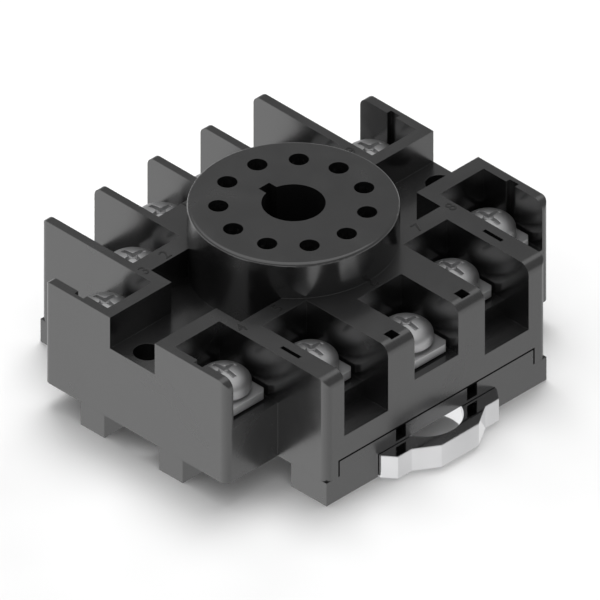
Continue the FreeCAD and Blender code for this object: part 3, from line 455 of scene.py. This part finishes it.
class Recipe(NamedTree):
    """A Geometry Nodes tree that makes one kind of piece from named sizes."""

    def __init__(self, name: str, measured: Sequence[str], chosen: dict[str, float | int]) -> None:
        """Start the tree.

        Args:
            name: the tree's name.
            measured: the sizes that each piece takes from the frame.
            chosen: the sizes that all the pieces share, with their values.
        """
        inputs = {**dict.fromkeys(measured, 0.0), **chosen, "Place": ZERO, "Turn": ZERO,
                  "Material": "NodeSocketMaterial"}
        super().__init__(name, "GeometryNodeTree", inputs, {"Geometry": "NodeSocketGeometry"})
        self.tree.is_modifier = True

    def box(self, x: Any, y: Any, z: Any, at: Any = ZERO, turn: Any = ZERO) -> NodeSocket:
        """A block of three sizes, with its centre at a place and turned about the three axes."""
        cube = self.add("GeometryNodeMeshCube", {"Size": self.point(x, y, z)})
        return self.moved(cube.outputs["Mesh"], at, turn)

    def moved(self, mesh: NodeSocket, at: Any, turn: Any = ZERO) -> NodeSocket:
        """A mesh with its origin moved to a place, and turned about the three axes."""
        node = self.add("GeometryNodeTransform", {"Geometry": mesh, "Translation": at, "Rotation": turn})
        return node.outputs[0]

    def cut(self, mesh: NodeSocket, tools: Iterable[NodeSocket]) -> NodeSocket:
        """Take tools away from a mesh, one after the other.

        Args:
            mesh: what is cut.
            tools: what cuts it.

        Returns:
            What is left.
        """
        for tool in tools:
            node = self.add("GeometryNodeMeshBoolean", {"Mesh 1": mesh, "Mesh 2": tool},
                            operation="DIFFERENCE")
            mesh = node.outputs["Mesh"]
        return mesh

    def joined(self, parts: Iterable[NodeSocket]) -> NodeSocket:
        """Put several meshes together.

        Args:
            parts: the meshes.

        Returns:
            All of them as one mesh.
        """
        node = self.add("GeometryNodeJoinGeometry")
        for part in parts:
            self.tree.links.new(part, node.inputs[0])
        return node.outputs[0]

    def close(self, mesh: NodeSocket, crease: float) -> None:
        """Shade the mesh, place it, give it its material and send it out.

        Args:
            mesh: the finished shape round its own origin.
            crease: the angle past which an edge is sharp, in radians.
        """
        own = self.add("GeometryNodeStoreNamedAttribute", {"Geometry": mesh, "Name": "turned"},
                       data_type="FLOAT_VECTOR", domain="POINT")
        self.feed(own.inputs["Value"], self.add("GeometryNodeInputPosition").outputs[0])
        smooth = self.add("GeometryNodeSetShadeSmooth", {0: own.outputs[0]}, domain="FACE")
        angle = self.add("GeometryNodeInputMeshEdgeAngle").outputs[0]
        soft = self.math("LESS_THAN", angle, crease)
        edged = self.add("GeometryNodeSetShadeSmooth", {0: smooth.outputs[0], "Shade Smooth": soft},
                         domain="EDGE")
        placed = self.moved(edged.outputs[0], self.given("Place"), self.given("Turn"))
        real = self.add("GeometryNodeRealizeInstances", {"Geometry": placed})
        dressed = self.add("GeometryNodeSetMaterial", {
            "Geometry": real.outputs[0], "Material": self.given("Material")})
        self.put("Geometry", dressed.outputs[0])

    def bake(self, name: str, sizes: dict[str, Any]) -> Object:
        """Run the tree and keep what it makes as a plain mesh.

        Args:
            name: the piece's name.
            sizes: the tree's inputs for this piece, by name.

        Returns:
            The piece.
        """
        piece = put_in_scene(bpy.data.meshes.new(name))
        modifier = piece.modifiers.new("recipe", "NODES")
        modifier.node_group = self.tree
        for label, value in sizes.items():
            modifier[self.identifiers[label]] = value
        mesh = self.cleaned(shown_mesh(piece))
        piece.modifiers.clear()
        mesh.name = name
        piece.data = mesh
        mesh.materials.clear()
        mesh.materials.append(sizes["Material"])
        if not mesh.polygons:
            raise RuntimeError(f"{name} came out empty")
        return piece

    @staticmethod
    def cleaned(mesh: Mesh) -> Mesh:
        """Weld the slivers that cutting leaves, and split its many-cornered faces.

        Args:
            mesh: the mesh as it came out.

        Returns:
            The same mesh, cleaned.
        """
        shape = bmesh.new()
        shape.from_mesh(mesh)
        bmesh.ops.remove_doubles(shape, verts=shape.verts, dist=WELD)
        bmesh.ops.dissolve_degenerate(shape, edges=shape.edges, dist=WELD)
        bmesh.ops.triangulate(shape, faces=[face for face in shape.faces if len(face.verts) > 4])
        bmesh.ops.dissolve_degenerate(shape, edges=shape.edges, dist=WELD)
        shape.to_mesh(mesh)
        shape.free()
        return mesh


def named_sizes(maker: Any, *names: str) -> dict[str, float | int]:
    """Some of a maker's sizes, under the names that a tree's inputs have."""
    return {name.replace("_", " ").title(): getattr(maker, name) for name in names}


def middle_of(node: str) -> tuple[Vector, Vector, Vector]:
    """A node's middle, its lowest and its highest corner."""
    low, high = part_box(node)
    return (low + high) / 2, low, high


@dataclass
class TerminalScrews:
    """The eleven domed screws with a cross recess and a slot.

    The two arms of the cross differ a little in depth, and the dome's corners are turned a little
    against them, so that no cut runs along a face or through a corner.
    """

    finishes: Finishes
    side_height: float = 0.9 * MM
    shank_radius: float = 1.75 * MM
    arm_length: float = 3.9 * MM
    arm_width: float = 0.62 * MM
    arm_depth: float = 0.7 * MM
    second_arm_share: float = 0.95
    slot_length: float = 4.9 * MM
    slot_width: float = 0.42 * MM
    slot_depth: float = 0.45 * MM
    well_sides: int = 4
    well_foot_share: float = 0.6
    well_mouth_share: float = 2.1
    well_below_share: float = 1.5
    well_above_share: float = 0.9
    pitch: float = 0.6 * MM
    thread_depth: float = 0.3 * MM
    ridge_sides: int = 4
    ridge_share: float = 0.67
    columns: int = 65
    rows: int = 15
    first_turn: float = 0.03
    sealed_within: float = 0.001 * MM
    core_sides: int = 32
    steps_a_turn: int = 20
    crease: float = 0.6

    def recipe(self) -> Recipe:
        """Draw up the screw.

        Returns:
            The tree that makes one screw, its head's underside at its origin.
        """
        chosen = named_sizes(self, "side_height", "shank_radius", "arm_length", "arm_width", "arm_depth",
                             "slot_length", "slot_width", "slot_depth", "pitch", "thread_depth")
        tree = Recipe("terminal_screw", ("Head Radius", "Head Height", "Shank Length"), chosen)
        head = tree.cut(self.dome(tree), self.recess(tree))
        tree.close(tree.joined([head, self.shank(tree), self.thread(tree)]), self.crease)
        return tree

    def dome(self, tree: Recipe) -> NodeSocket:
        """The head's outside, turned from a profile: underside, upright side and dome.

        Args:
            tree: the screw's tree.

        Returns:
            The closed head.
        """
        row = 1 / (self.rows - 1)
        grid = tree.add("GeometryNodeMeshGrid", {
            "Size X": 1.0, "Size Y": 1.0, "Vertices X": self.columns, "Vertices Y": self.rows})
        spot = tree.add("ShaderNodeSeparateXYZ", {0: tree.add("GeometryNodeInputPosition").outputs[0]})
        angle = tree.math("MULTIPLY_ADD", spot.outputs[0], math.tau, self.first_turn)
        along = tree.plus(spot.outputs[1], 0.5)
        tilt = tree.span(along, 2 * row, 1.0, math.pi / 2, 0.0)
        spread = tree.span(along, 0.0, row, 0.0, 1.0)
        radius = tree.times(tree.given("Head Radius"), tree.times(spread, tree.math("SINE", tilt)))
        side = tree.span(along, row, 2 * row, 0.0, tree.given("Side Height"))
        rise = tree.minus(tree.given("Head Height"), tree.given("Side Height"))
        level = tree.math("MULTIPLY_ADD", rise, tree.math("COSINE", tilt), side)
        place = tree.point(tree.times(radius, tree.math("COSINE", angle)),
                           tree.times(radius, tree.math("SINE", angle)), level)
        turned = tree.add("GeometryNodeSetPosition", {"Geometry": grid.outputs["Mesh"], "Position": place})
        sealed = tree.add("GeometryNodeMergeByDistance", {
            "Geometry": turned.outputs[0], "Distance": self.sealed_within})
        return sealed.outputs[0]

    def recess(self, tree: Recipe) -> list[NodeSocket]:
        """The tools that cut the cross, the slot and the well in the middle.

        Args:
            tree: the screw's tree.

        Returns:
            The tools.
        """
        top = tree.point(z=tree.given("Head Height"))
        long, wide, deep = (tree.given(label) for label in ("Arm Length", "Arm Width", "Arm Depth"))
        tools = [tree.box(long, wide, tree.times(deep, 2.0), top),
                 tree.box(wide, long, tree.times(deep, 2.0 * self.second_arm_share), top),
                 tree.box(tree.given("Slot Width"), tree.given("Slot Length"),
                          tree.times(tree.given("Slot Depth"), 2.0), top)]
        tall = tree.times(deep, self.well_below_share + self.well_above_share)
        well = tree.add("GeometryNodeMeshCone", {
            "Vertices": self.well_sides, "Depth": tall,
            "Radius Top": tree.times(wide, self.well_mouth_share),
            "Radius Bottom": tree.times(wide, self.well_foot_share)})
        foot = tree.minus(tree.given("Head Height"), tree.times(deep, self.well_below_share))
        tools.append(tree.moved(well.outputs["Mesh"], tree.point(z=foot)))
        return tools

    def shank(self, tree: Recipe) -> NodeSocket:
        """The shank's core.

        Args:
            tree: the screw's tree.

        Returns:
            The core.
        """
        core = tree.minus(tree.given("Shank Radius"), tree.given("Thread Depth"))
        long = tree.given("Shank Length")
        body = tree.add("GeometryNodeMeshCylinder", {
            "Vertices": self.core_sides, "Radius": core, "Depth": long})
        return tree.moved(body.outputs["Mesh"], tree.point(z=tree.times(long, -0.5)))

    def thread(self, tree: Recipe) -> NodeSocket:
        """The thread's ridge, wound round the core and a pitch short of it at each end.

        Args:
            tree: the screw's tree.

        Returns:
            The ridge.
        """
        depth, pitch = tree.given("Thread Depth"), tree.given("Pitch")
        run = tree.minus(tree.given("Shank Length"), tree.times(pitch, 2.0))
        middle = tree.math("MULTIPLY_ADD", depth, -self.ridge_share, tree.given("Shank Radius"))
        path = tree.add("GeometryNodeCurveSpiral", {
            "Resolution": self.steps_a_turn, "Start Radius": middle, "End Radius": middle, "Height": run,
            "Rotations": tree.math("DIVIDE", run, pitch)})
        ridge = tree.add("GeometryNodeCurvePrimitiveCircle", {
            "Resolution": self.ridge_sides, "Radius": tree.times(depth, self.ridge_share)})
        wound = tree.add("GeometryNodeCurveToMesh", {
            "Curve": path.outputs[0], "Profile Curve": ridge.outputs[0], "Fill Caps": True})
        low = tree.minus(pitch, tree.given("Shank Length"))
        return tree.moved(wound.outputs[0], tree.point(z=low))

    def build(self) -> list[Object]:
        """Make the screws, each in its CAD node's place.

        Returns:
            The eleven screws.
        """
        tree = self.recipe()
        screws = []
        for number in range(1, TERMINALS + 1):
            node = f"terminal_screw_{number}"
            middle, low, high = middle_of(node)
            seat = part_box(f"clamp_plate_{number}")[1].z
            sizes = {"Head Radius": (high.x - low.x) / 2, "Head Height": high.z - seat,
                     "Shank Length": seat - low.z, "Place": (middle.x, middle.y, seat),
                     "Material": self.finishes.of(TURNED_STEEL)}
            screw = tree.bake(f"screw_{number}", sizes)
            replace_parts(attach(screw, node), node)
            screws.append(screw)
        return screws


@dataclass
class ClampPlates:
    """The eleven pressed plates under the screws, each with a collar, a front lip and a ribbed underside."""

    finishes: Finishes
    corner: float = 0.6 * MM
    hole_radius: float = 2.05 * MM
    collar_radius: float = 2.9 * MM
    collar_height: float = 0.35 * MM
    front_reach: float = 0.5 * MM
    lip_thickness: float = 0.38 * MM
    lip_drop: float = 0.5 * MM
    rib_pitch: float = 0.7 * MM
    rib_depth: float = 0.14 * MM
    ribbed_share: float = 0.86
    groove_reach_share: float = 1.2
    groove_sink_share: float = 0.2
    chip_shift_share: float = 0.5
    tool_height_share: float = 6.0
    round_sides: int = 48
    crease: float = 0.45

    def recipe(self) -> Recipe:
        """Draw up the plate.

        Returns:
            The tree that makes one plate, its underside's middle at its origin.
        """
        chosen = named_sizes(self, "corner", "hole_radius", "collar_radius", "collar_height", "front_reach",
                             "lip_thickness", "lip_drop", "rib_pitch", "rib_depth")
        tree = Recipe("clamp_plate", ("Size", "Thickness"), chosen)
        size, thick, drop, reach = (
            tree.given(label) for label in ("Size", "Thickness", "Lip Drop", "Front Reach"))
        blank = tree.box(
            tree.plus(size, reach), size, tree.plus(thick, drop),
            tree.point(tree.times(reach, 0.5), 0.0, tree.times(tree.minus(thick, drop), 0.5)))
        tall = tree.times(thick, self.tool_height_share)
        bore = tree.add("GeometryNodeMeshCylinder", {
            "Vertices": self.round_sides, "Depth": tall, "Radius": tree.given("Hole Radius")})
        tools = [self.under_the_plate(tree, size), self.round_the_collar(tree, size),
                 *self.chips(tree, size, tall), bore.outputs["Mesh"], self.grooves(tree, size)]
        tree.close(tree.cut(blank, tools), self.crease)
        return tree

    def chips(self, tree: Recipe, size: NodeSocket, tall: NodeSocket) -> list[NodeSocket]:
        """What is taken off the two front corners: square blocks turned by 45 degrees.

        Args:
            tree: the plate's tree.
            size: the plate's size.
            tall: the blocks' height.

        Returns:
            The tools.
        """
        corner, half = tree.given("Corner"), tree.times(size, 0.5)
        side = tree.times(corner, math.sqrt(2.0) * (1.0 + 2.0 * self.chip_shift_share))
        front = tree.plus(half, tree.given("Front Reach"))
        out_x = tree.math("MULTIPLY_ADD", corner, self.chip_shift_share, front)
        out_y = tree.math("MULTIPLY_ADD", corner, self.chip_shift_share, half)
        return [tree.box(side, side, tall, tree.point(out_x, tree.times(out_y, hand), 0.0),
                         (0.0, 0.0, math.pi / 4)) for hand in (-1.0, 1.0)]

    @staticmethod
    def under_the_plate(tree: Recipe, size: NodeSocket) -> NodeSocket:
        """What is taken away behind the lip, up to the plate's underside.

        Args:
            tree: the plate's tree.
            size: the plate's size.

        Returns:
            The tool.
        """
        deep = tree.times(tree.given("Lip Drop"), 2.0)
        behind = tree.minus(tree.given("Front Reach"), tree.given("Lip Thickness"))
        middle = tree.minus(behind, tree.times(size, 0.5))
        wide = tree.times(size, 2.0)
        return tree.box(wide, wide, deep, tree.point(middle, 0.0, tree.times(deep, -0.5)))

    def round_the_collar(self, tree: Recipe, size: NodeSocket) -> NodeSocket:
        """What is taken away round the collar, down to the plate's top.

        Args:
            tree: the plate's tree.
            size: the plate's size.

        Returns:
            The tool.
        """
        rise = tree.times(tree.given("Collar Height"), 2.0)
        wide = tree.times(size, 2.0)
        level = tree.point(z=tree.given("Thickness"))
        collar = tree.add("GeometryNodeMeshCylinder", {
            "Vertices": self.round_sides, "Radius": tree.given("Collar Radius"),
            "Depth": tree.times(rise, 2.0)})
        return tree.cut(tree.box(wide, wide, rise, level), [tree.moved(collar.outputs["Mesh"], level)])

    def grooves(self, tree: Recipe, size: NodeSocket) -> NodeSocket:
        """The grooves pressed across the underside.

        Args:
            tree: the plate's tree.
            size: the plate's size.

        Returns:
            The tools that cut them, as one mesh.
        """
        pitch, deep = tree.given("Rib Pitch"), tree.given("Rib Depth")
        rows = tree.math("FLOOR", tree.math("DIVIDE", tree.times(size, self.ribbed_share), pitch))
        reach = tree.times(tree.times(tree.minus(rows, 1.0), pitch), -0.5)
        line = tree.add("GeometryNodeMeshLine", {
            "Count": rows, "Start Location": tree.point(reach), "Offset": tree.point(pitch)}, mode="OFFSET")
        side = tree.times(deep, math.sqrt(2.0))
        long = tree.times(size, self.groove_reach_share)
        below = tree.point(z=tree.times(deep, -self.groove_sink_share))
        tool = tree.box(side, long, side, below, (0.0, math.pi / 4, 0.0))
        spread = tree.add("GeometryNodeInstanceOnPoints", {"Points": line.outputs[0], "Instance": tool})
        return tree.add("GeometryNodeRealizeInstances", {"Geometry": spread.outputs[0]}).outputs[0]

    def build(self) -> list[Object]:
        """Make the plates, each in its CAD node's place.

        Returns:
            The eleven plates.
        """
        tree = self.recipe()
        plates = []
        for number in range(1, TERMINALS + 1):
            node = f"clamp_plate_{number}"
            middle, low, high = middle_of(node)
            way = Way.FRONT if middle.x > 0 else Way.REAR
            turn = 0.0 if way is Way.FRONT else math.pi
            sizes = {"Size": high.x - low.x, "Thickness": high.z - low.z,
                     "Place": (middle.x, middle.y, low.z), "Turn": (0.0, 0.0, turn),
                     "Material": self.finishes.of(TERMINAL_STEEL)}
            plate = tree.bake(f"wire_plate_{number}", sizes)
            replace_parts(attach(plate, node), node)
            plates.append(plate)
        return plates


@dataclass
class ClipSprings:
    """The two strips bent in zigzag behind the release clip."""

    finishes: Finishes
    folds: int = 6
    leaf: float = 0.3 * MM
    bend_radius: float = 0.32 * MM
    bend_steps: int = 6
    crease: float = 0.9
    closed_share: float = 0.3

    def recipe(self) -> Recipe:
        """Draw up the spring.

        Returns:
            The tree that makes one spring, its lower rear middle at its origin.
        """
        tree = Recipe("clip_spring", ("Length", "Width", "Height"),
                      named_sizes(self, "leaf", "folds", "bend_radius"))
        leaf, folds = tree.given("Leaf"), tree.given("Folds")
        half_leaf = tree.times(leaf, 0.5)
        step = tree.math("DIVIDE", tree.minus(tree.given("Length"), leaf), folds)
        line = tree.add("GeometryNodeMeshLine", {
            "Count": tree.plus(folds, 1.0), "Start Location": tree.point(half_leaf),
            "Offset": tree.point(step)}, mode="OFFSET")
        swing = tree.minus(tree.times(tree.given("Width"), 0.5), half_leaf)
        parity = tree.math("MODULO", tree.add("GeometryNodeInputIndex").outputs[0], 2.0)
        side = tree.times(swing, tree.math("MULTIPLY_ADD", parity, -2.0, 1.0))
        rise = tree.times(tree.given("Height"), 0.5)
        swung = tree.add("GeometryNodeSetPosition", {
            "Geometry": line.outputs[0], "Offset": tree.point(0.0, side, rise)})
        path = tree.add("GeometryNodeMeshToCurve", {"Mesh": swung.outputs[0]})
        bent = tree.add("GeometryNodeFilletCurve", {
            "Curve": path.outputs[0], "Limit Radius": True, "Radius": tree.given("Bend Radius"),
            "Count": self.bend_steps}, mode="POLY")
        upright = tree.add("GeometryNodeSetCurveNormal", {0: bent.outputs[0]}, mode="Z_UP")
        strip = tree.add("GeometryNodeCurvePrimitiveQuadrilateral", {
            "Width": leaf, "Height": tree.given("Height")})
        wound = tree.add("GeometryNodeCurveToMesh", {
            "Curve": upright.outputs[0], "Profile Curve": strip.outputs[0], "Fill Caps": True})
        tree.close(wound.outputs[0], self.crease)
        return tree

    def build(self) -> list[Object]:
        """Make the springs, fixed in one shape; the real ones close up as the clip slides out.

        Returns:
            The two springs.
        """
        tree = self.recipe()
        springs = []
        for number in (1, 2):
            node = f"clip_spring_{number}"
            middle, low, high = middle_of(node)
            sizes = {"Length": high.x - low.x, "Width": high.y - low.y, "Height": high.z - low.z,
                     "Place": (low.x, middle.y, low.z), "Material": self.finishes.of(SPRING_STEEL)}
            spring = tree.bake(f"zigzag_spring_{number}", sizes)
            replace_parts(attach(spring, "socket"), node)
            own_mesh(spring)
            springs.append(spring)
        return springs


@dataclass
class TerminalNumbers:
    """The small plain numbers beside the terminals, raised a little from the moulding."""

    finishes: Finishes
    height_mm: float = 1.75
    size_per_height: float = 1.35
    curve_steps: int = 3
    welded_within_mm: float = 0.0001
    raised_mm: float = 0.05
    sunk_mm: float = 0.03
    wall_top_mm: float = 15.6
    half_places_mm: dict[int, tuple[float, float]] = field(default_factory=lambda: {
        7: (9.65, 12.55), 8: (9.45, 18.75), 9: (-8.1, 18.5), 10: (-8.7, 14.2), 11: (-14.3, 4.7)})
    sixth_place_mm: tuple[float, float] = (14.4, 0.0)

    def places(self) -> dict[int, tuple[float, float]]:
        """Where each number stands, worked out from one side of the socket.

        Returns:
            X and Y in millimetres for each terminal.
        """
        found = {6: self.sixth_place_mm}
        for number, (x, y) in self.half_places_mm.items():
            found[number] = (x, y)
            found[TERMINALS + 1 - number] = (x, -y)
        return found

    def figure(self, number: int) -> Mesh:
        """One number as a thin solid.

        Args:
            number: the terminal.

        Returns:
            The mesh, round its own middle.
        """
        text = bpy.data.curves.new(f"figure_{number}", "FONT")
        text.body = str(number)
        text.align_x = text.align_y = "CENTER"
        text.size = self.height_mm * self.size_per_height * MM
        text.extrude = (self.raised_mm + self.sunk_mm) / 2 * MM
        text.resolution_u = self.curve_steps
        holder = put_in_scene(text)
        mesh = shown_mesh(holder)
        bpy.data.objects.remove(holder)
        return mesh

    def build(self) -> list[Object]:
        """Make all the numbers as one piece.

        Returns:
            The one piece.
        """
        level = (self.wall_top_mm + (self.raised_mm - self.sunk_mm) / 2) * MM
        whole = bmesh.new()
        for number, (x, y) in sorted(self.places().items()):
            mesh = self.figure(number)
            place = Matrix.Translation((x * MM, y * MM, level))
            mesh.transform(place @ Matrix.Rotation(math.pi / 2, 4, "Z"))
            whole.from_mesh(mesh)
        bmesh.ops.remove_doubles(whole, verts=whole.verts, dist=self.welded_within_mm * MM)
        made = bpy.data.meshes.new("terminal_numbers")
        whole.to_mesh(made)
        whole.free()
        piece = put_in_scene(made, self.finishes.of(NUMBER_FACE))
        return [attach(piece, "socket")]


@dataclass
class BaseSeams:
    """Painted shadow: thin black strips let into the base's joint with the housing, front and rear, for the
    shade in that gap.
    """

    finishes: Finishes
    half_width_mm: float = 17.53
    top_mm: float = 2.5
    foot_mm: float = 0.0
    line_mm: float = 0.24
    proud_mm: float = 0.012
    sunk_mm: float = 0.03

    def outline(self) -> list[tuple[float, float]]:
        """The painted shadow strip's outline as a closed shape.

        Returns:
            Its corners, Y and Z in millimetres.
        """
        wide, high, low, line = self.half_width_mm, self.top_mm, self.foot_mm, self.line_mm
        half = [(wide - line, high - line), (wide - line, low), (wide, low), (wide, high)]
        return half + [(-y, z) for y, z in reversed(half)]

    def strip(self, way: Way) -> Mesh:
        """One painted shadow strip in the joint, as a thin solid let into the housing's face.

        Args:
            way: the face that it is in.

        Returns:
            The mesh.
        """
        low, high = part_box("housing")
        face = high.x if way is Way.FRONT else low.x
        ring = self.outline()[::way.value]
        count = len(ring)
        points = [(face + way.value * step * MM, y * MM, z * MM)
                  for step in (-self.sunk_mm, self.proud_mm) for y, z in ring]
        sides = [(at, (at + 1) % count, (at + 1) % count + count, at + count) for at in range(count)]
        mesh = bpy.data.meshes.new(f"painted_base_seam_shadow_{way.name.lower()}")
        mesh.from_pydata(points, [], [range(count, 2 * count), range(count - 1, -1, -1), *sides])
        return mesh

    def build(self) -> list[Object]:
        """Make the two painted shadow strips.

        Returns:
            The front strip and the rear strip.
        """
        # Painted shade: near-black strips in the seam finish, front and rear, where the joint has only
        # shadow.
        pieces = [put_in_scene(self.strip(way), self.finishes.of(SEAM_SHADOW_PAINT)) for way in Way]
        return [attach(piece, "socket") for piece in pieces]


@dataclass
class CarriedOver:
    """The pieces whose shape comes from the frame as it is, with their finishes."""

    finishes: Finishes

    @staticmethod
    def finish_of(node: str) -> Finish:
        """The finish of a node, from how its name starts, with base_screws looked for before base."""
        starts = {"housing": BLACK_MOULDING, "base_screws": FIXING_STEEL, "base": BLACK_MOULDING,
                  "rail_clip": CLIP_METAL, "contact": CONTACT_METAL, "clip_spring": SPRING_STEEL,
                  "terminal_screw": TURNED_STEEL, "clamp_plate": TERMINAL_STEEL}
        return next(finish for start, finish in starts.items() if node.startswith(start))

    def dress(self) -> list[str]:
        """Give every node of the frame its material.

        Returns:
            The names of the nodes.
        """
        for name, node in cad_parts.items():
            material = self.finishes.of(self.finish_of(name))
            node.data.materials.clear()
            node.data.materials.append(material)
        return sorted(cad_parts)


@dataclass
class Studio:
    """The pale floor, the soft lights and the camera."""

    finishes: Finishes
    floor_level: float = -3.52 * MM
    floor_size: float = 3.0
    floor_cells: int = 8
    view_azimuth: float = 45.0
    view_elevation: float = math.degrees(math.atan(1 / math.sqrt(2)))
    view_width: float = 75.8 * MM
    view_distance: float = 0.6
    near_clip: float = 0.01
    far_clip: float = 10.0
    aim: Triple = (0.58 * MM, 0.58 * MM, 5.845 * MM)
    even_light: float = 0.42
    mirrored_sky: float = 0.27
    mirrored_ground: float = 0.87
    ground_slant: float = 0.15
    horizon_blur: float = 0.12
    softbox_size: float = 1.0
    softbox_place: Triple = (-0.06, -0.06, 0.5)
    softbox_power: float = 1.7
    rear_size: float = 0.32
    rear_place: Triple = (-0.12, 0.12, 0.55)
    rear_power: float = 2.5

    def build_floor(self) -> Object:
        """The floor, which isn't part of the socket.

        Returns:
            The floor.
        """
        sheet = bmesh.new()
        bmesh.ops.create_grid(sheet, x_segments=self.floor_cells, y_segments=self.floor_cells,
                              size=self.floor_size / 2)
        mesh = bpy.data.meshes.new("floor")
        sheet.to_mesh(mesh)
        sheet.free()
        mesh.transform(Matrix.Translation((0.0, 0.0, self.floor_level)))
        floor = put_in_scene(mesh, self.finishes.of(FLOOR_CARD))
        floor.visible_glossy = False
        return floor

    def build_light(self, name: str, place: Triple, size: float, power: float) -> Object:
        """One soft light, turned towards the socket.

        Args:
            name: its name.
            place: where it hangs.
            size: the side of its square face.
            power: its power in watts.

        Returns:
            The light.
        """
        lamp = bpy.data.lights.new(name, "AREA")
        lamp.shape = "SQUARE"
        lamp.size = size
        lamp.energy = power
        light = put_in_scene(lamp)
        light.location = place
        light.rotation_euler = (Vector(self.aim) - Vector(place)).to_track_quat("-Z", "Y").to_euler()
        return light

    def build_lights(self) -> None:
        """The softbox overhead, a lamp behind it for the floor, and even light that gloss mirrors dimly."""
        self.build_light("overhead", self.softbox_place, self.softbox_size, self.softbox_power)
        rear = self.build_light("rear", self.rear_place, self.rear_size, self.rear_power)
        rear.visible_glossy = False
        world = bpy.data.worlds.new("studio")
        world.use_nodes = True
        sheet = NodeSheet(world.node_tree)
        backdrop = world.node_tree.nodes["Background"]
        backdrop.inputs["Color"].default_value = (1.0, 1.0, 1.0, 1.0)
        glossy = sheet.add("ShaderNodeLightPath").outputs["Is Glossy Ray"]
        extra = sheet.minus(self.mirrored_room(sheet), self.even_light)
        sheet.feed(backdrop.inputs["Strength"], sheet.math("MULTIPLY_ADD", glossy, extra, self.even_light))
        bpy.context.scene.world = world
        bpy.context.scene.view_settings.view_transform = "Standard"

    def mirrored_room(self, sheet: NodeSheet) -> NodeSocket:
        """The room that gloss mirrors: a dim sky over pale ground, which is lighter towards -X and -Y.

        Args:
            sheet: the world's nodes.

        Returns:
            The room's brightness in the ray's direction.
        """
        way = sheet.add("ShaderNodeSeparateXYZ", {0: sheet.add("ShaderNodeTexCoord").outputs["Generated"]})
        side = sheet.plus(way.outputs[0], way.outputs[1])
        ground = sheet.math("MULTIPLY_ADD", side, -self.ground_slant, self.mirrored_ground)
        below = sheet.span(way.outputs[2], -self.horizon_blur, self.horizon_blur, 1.0, 0.0)
        lift = sheet.minus(ground, self.mirrored_sky)
        return sheet.math("MULTIPLY_ADD", below, lift, self.mirrored_sky)

    def build_camera(self) -> Object:
        """The camera, at the photo's angle and in parallel projection.

        Returns:
            The camera.
        """
        turn, rise = math.radians(self.view_azimuth), math.radians(self.view_elevation)
        back = Vector((math.sin(turn) * math.cos(rise), -math.cos(turn) * math.cos(rise), math.sin(rise)))
        lens = bpy.data.cameras.new("photo_view")
        lens.type = "ORTHO"
        lens.ortho_scale = self.view_width
        lens.clip_start = self.near_clip
        lens.clip_end = self.far_clip
        camera = put_in_scene(lens)
        camera.location = Vector(self.aim) + back * self.view_distance
        camera.rotation_euler = (-back).to_track_quat("-Z", "Y").to_euler()
        bpy.context.scene.camera = camera
        return camera

    def build(self) -> None:
        """Set up floor, lights and camera."""
        self.build_camera()
        self.build_floor()
        self.build_lights()


def main() -> None:
    """Build the stage, dress the frame and make each sub-assembly."""
    logging.basicConfig(level=logging.INFO, format="%(name)s: %(message)s")
    finishes = Finishes(Workshop())
    Studio(finishes).build()
    for name in CarriedOver(finishes).dress():
        LOG.info("node %s dressed", name)
    for group in (TerminalScrews, ClampPlates, ClipSprings, BaseSeams, TerminalNumbers):
        for piece in group(finishes).build():
            LOG.info("piece %s has %d faces", piece.name, len(piece.data.polygons))


if __name__ == "__main__":
    main()
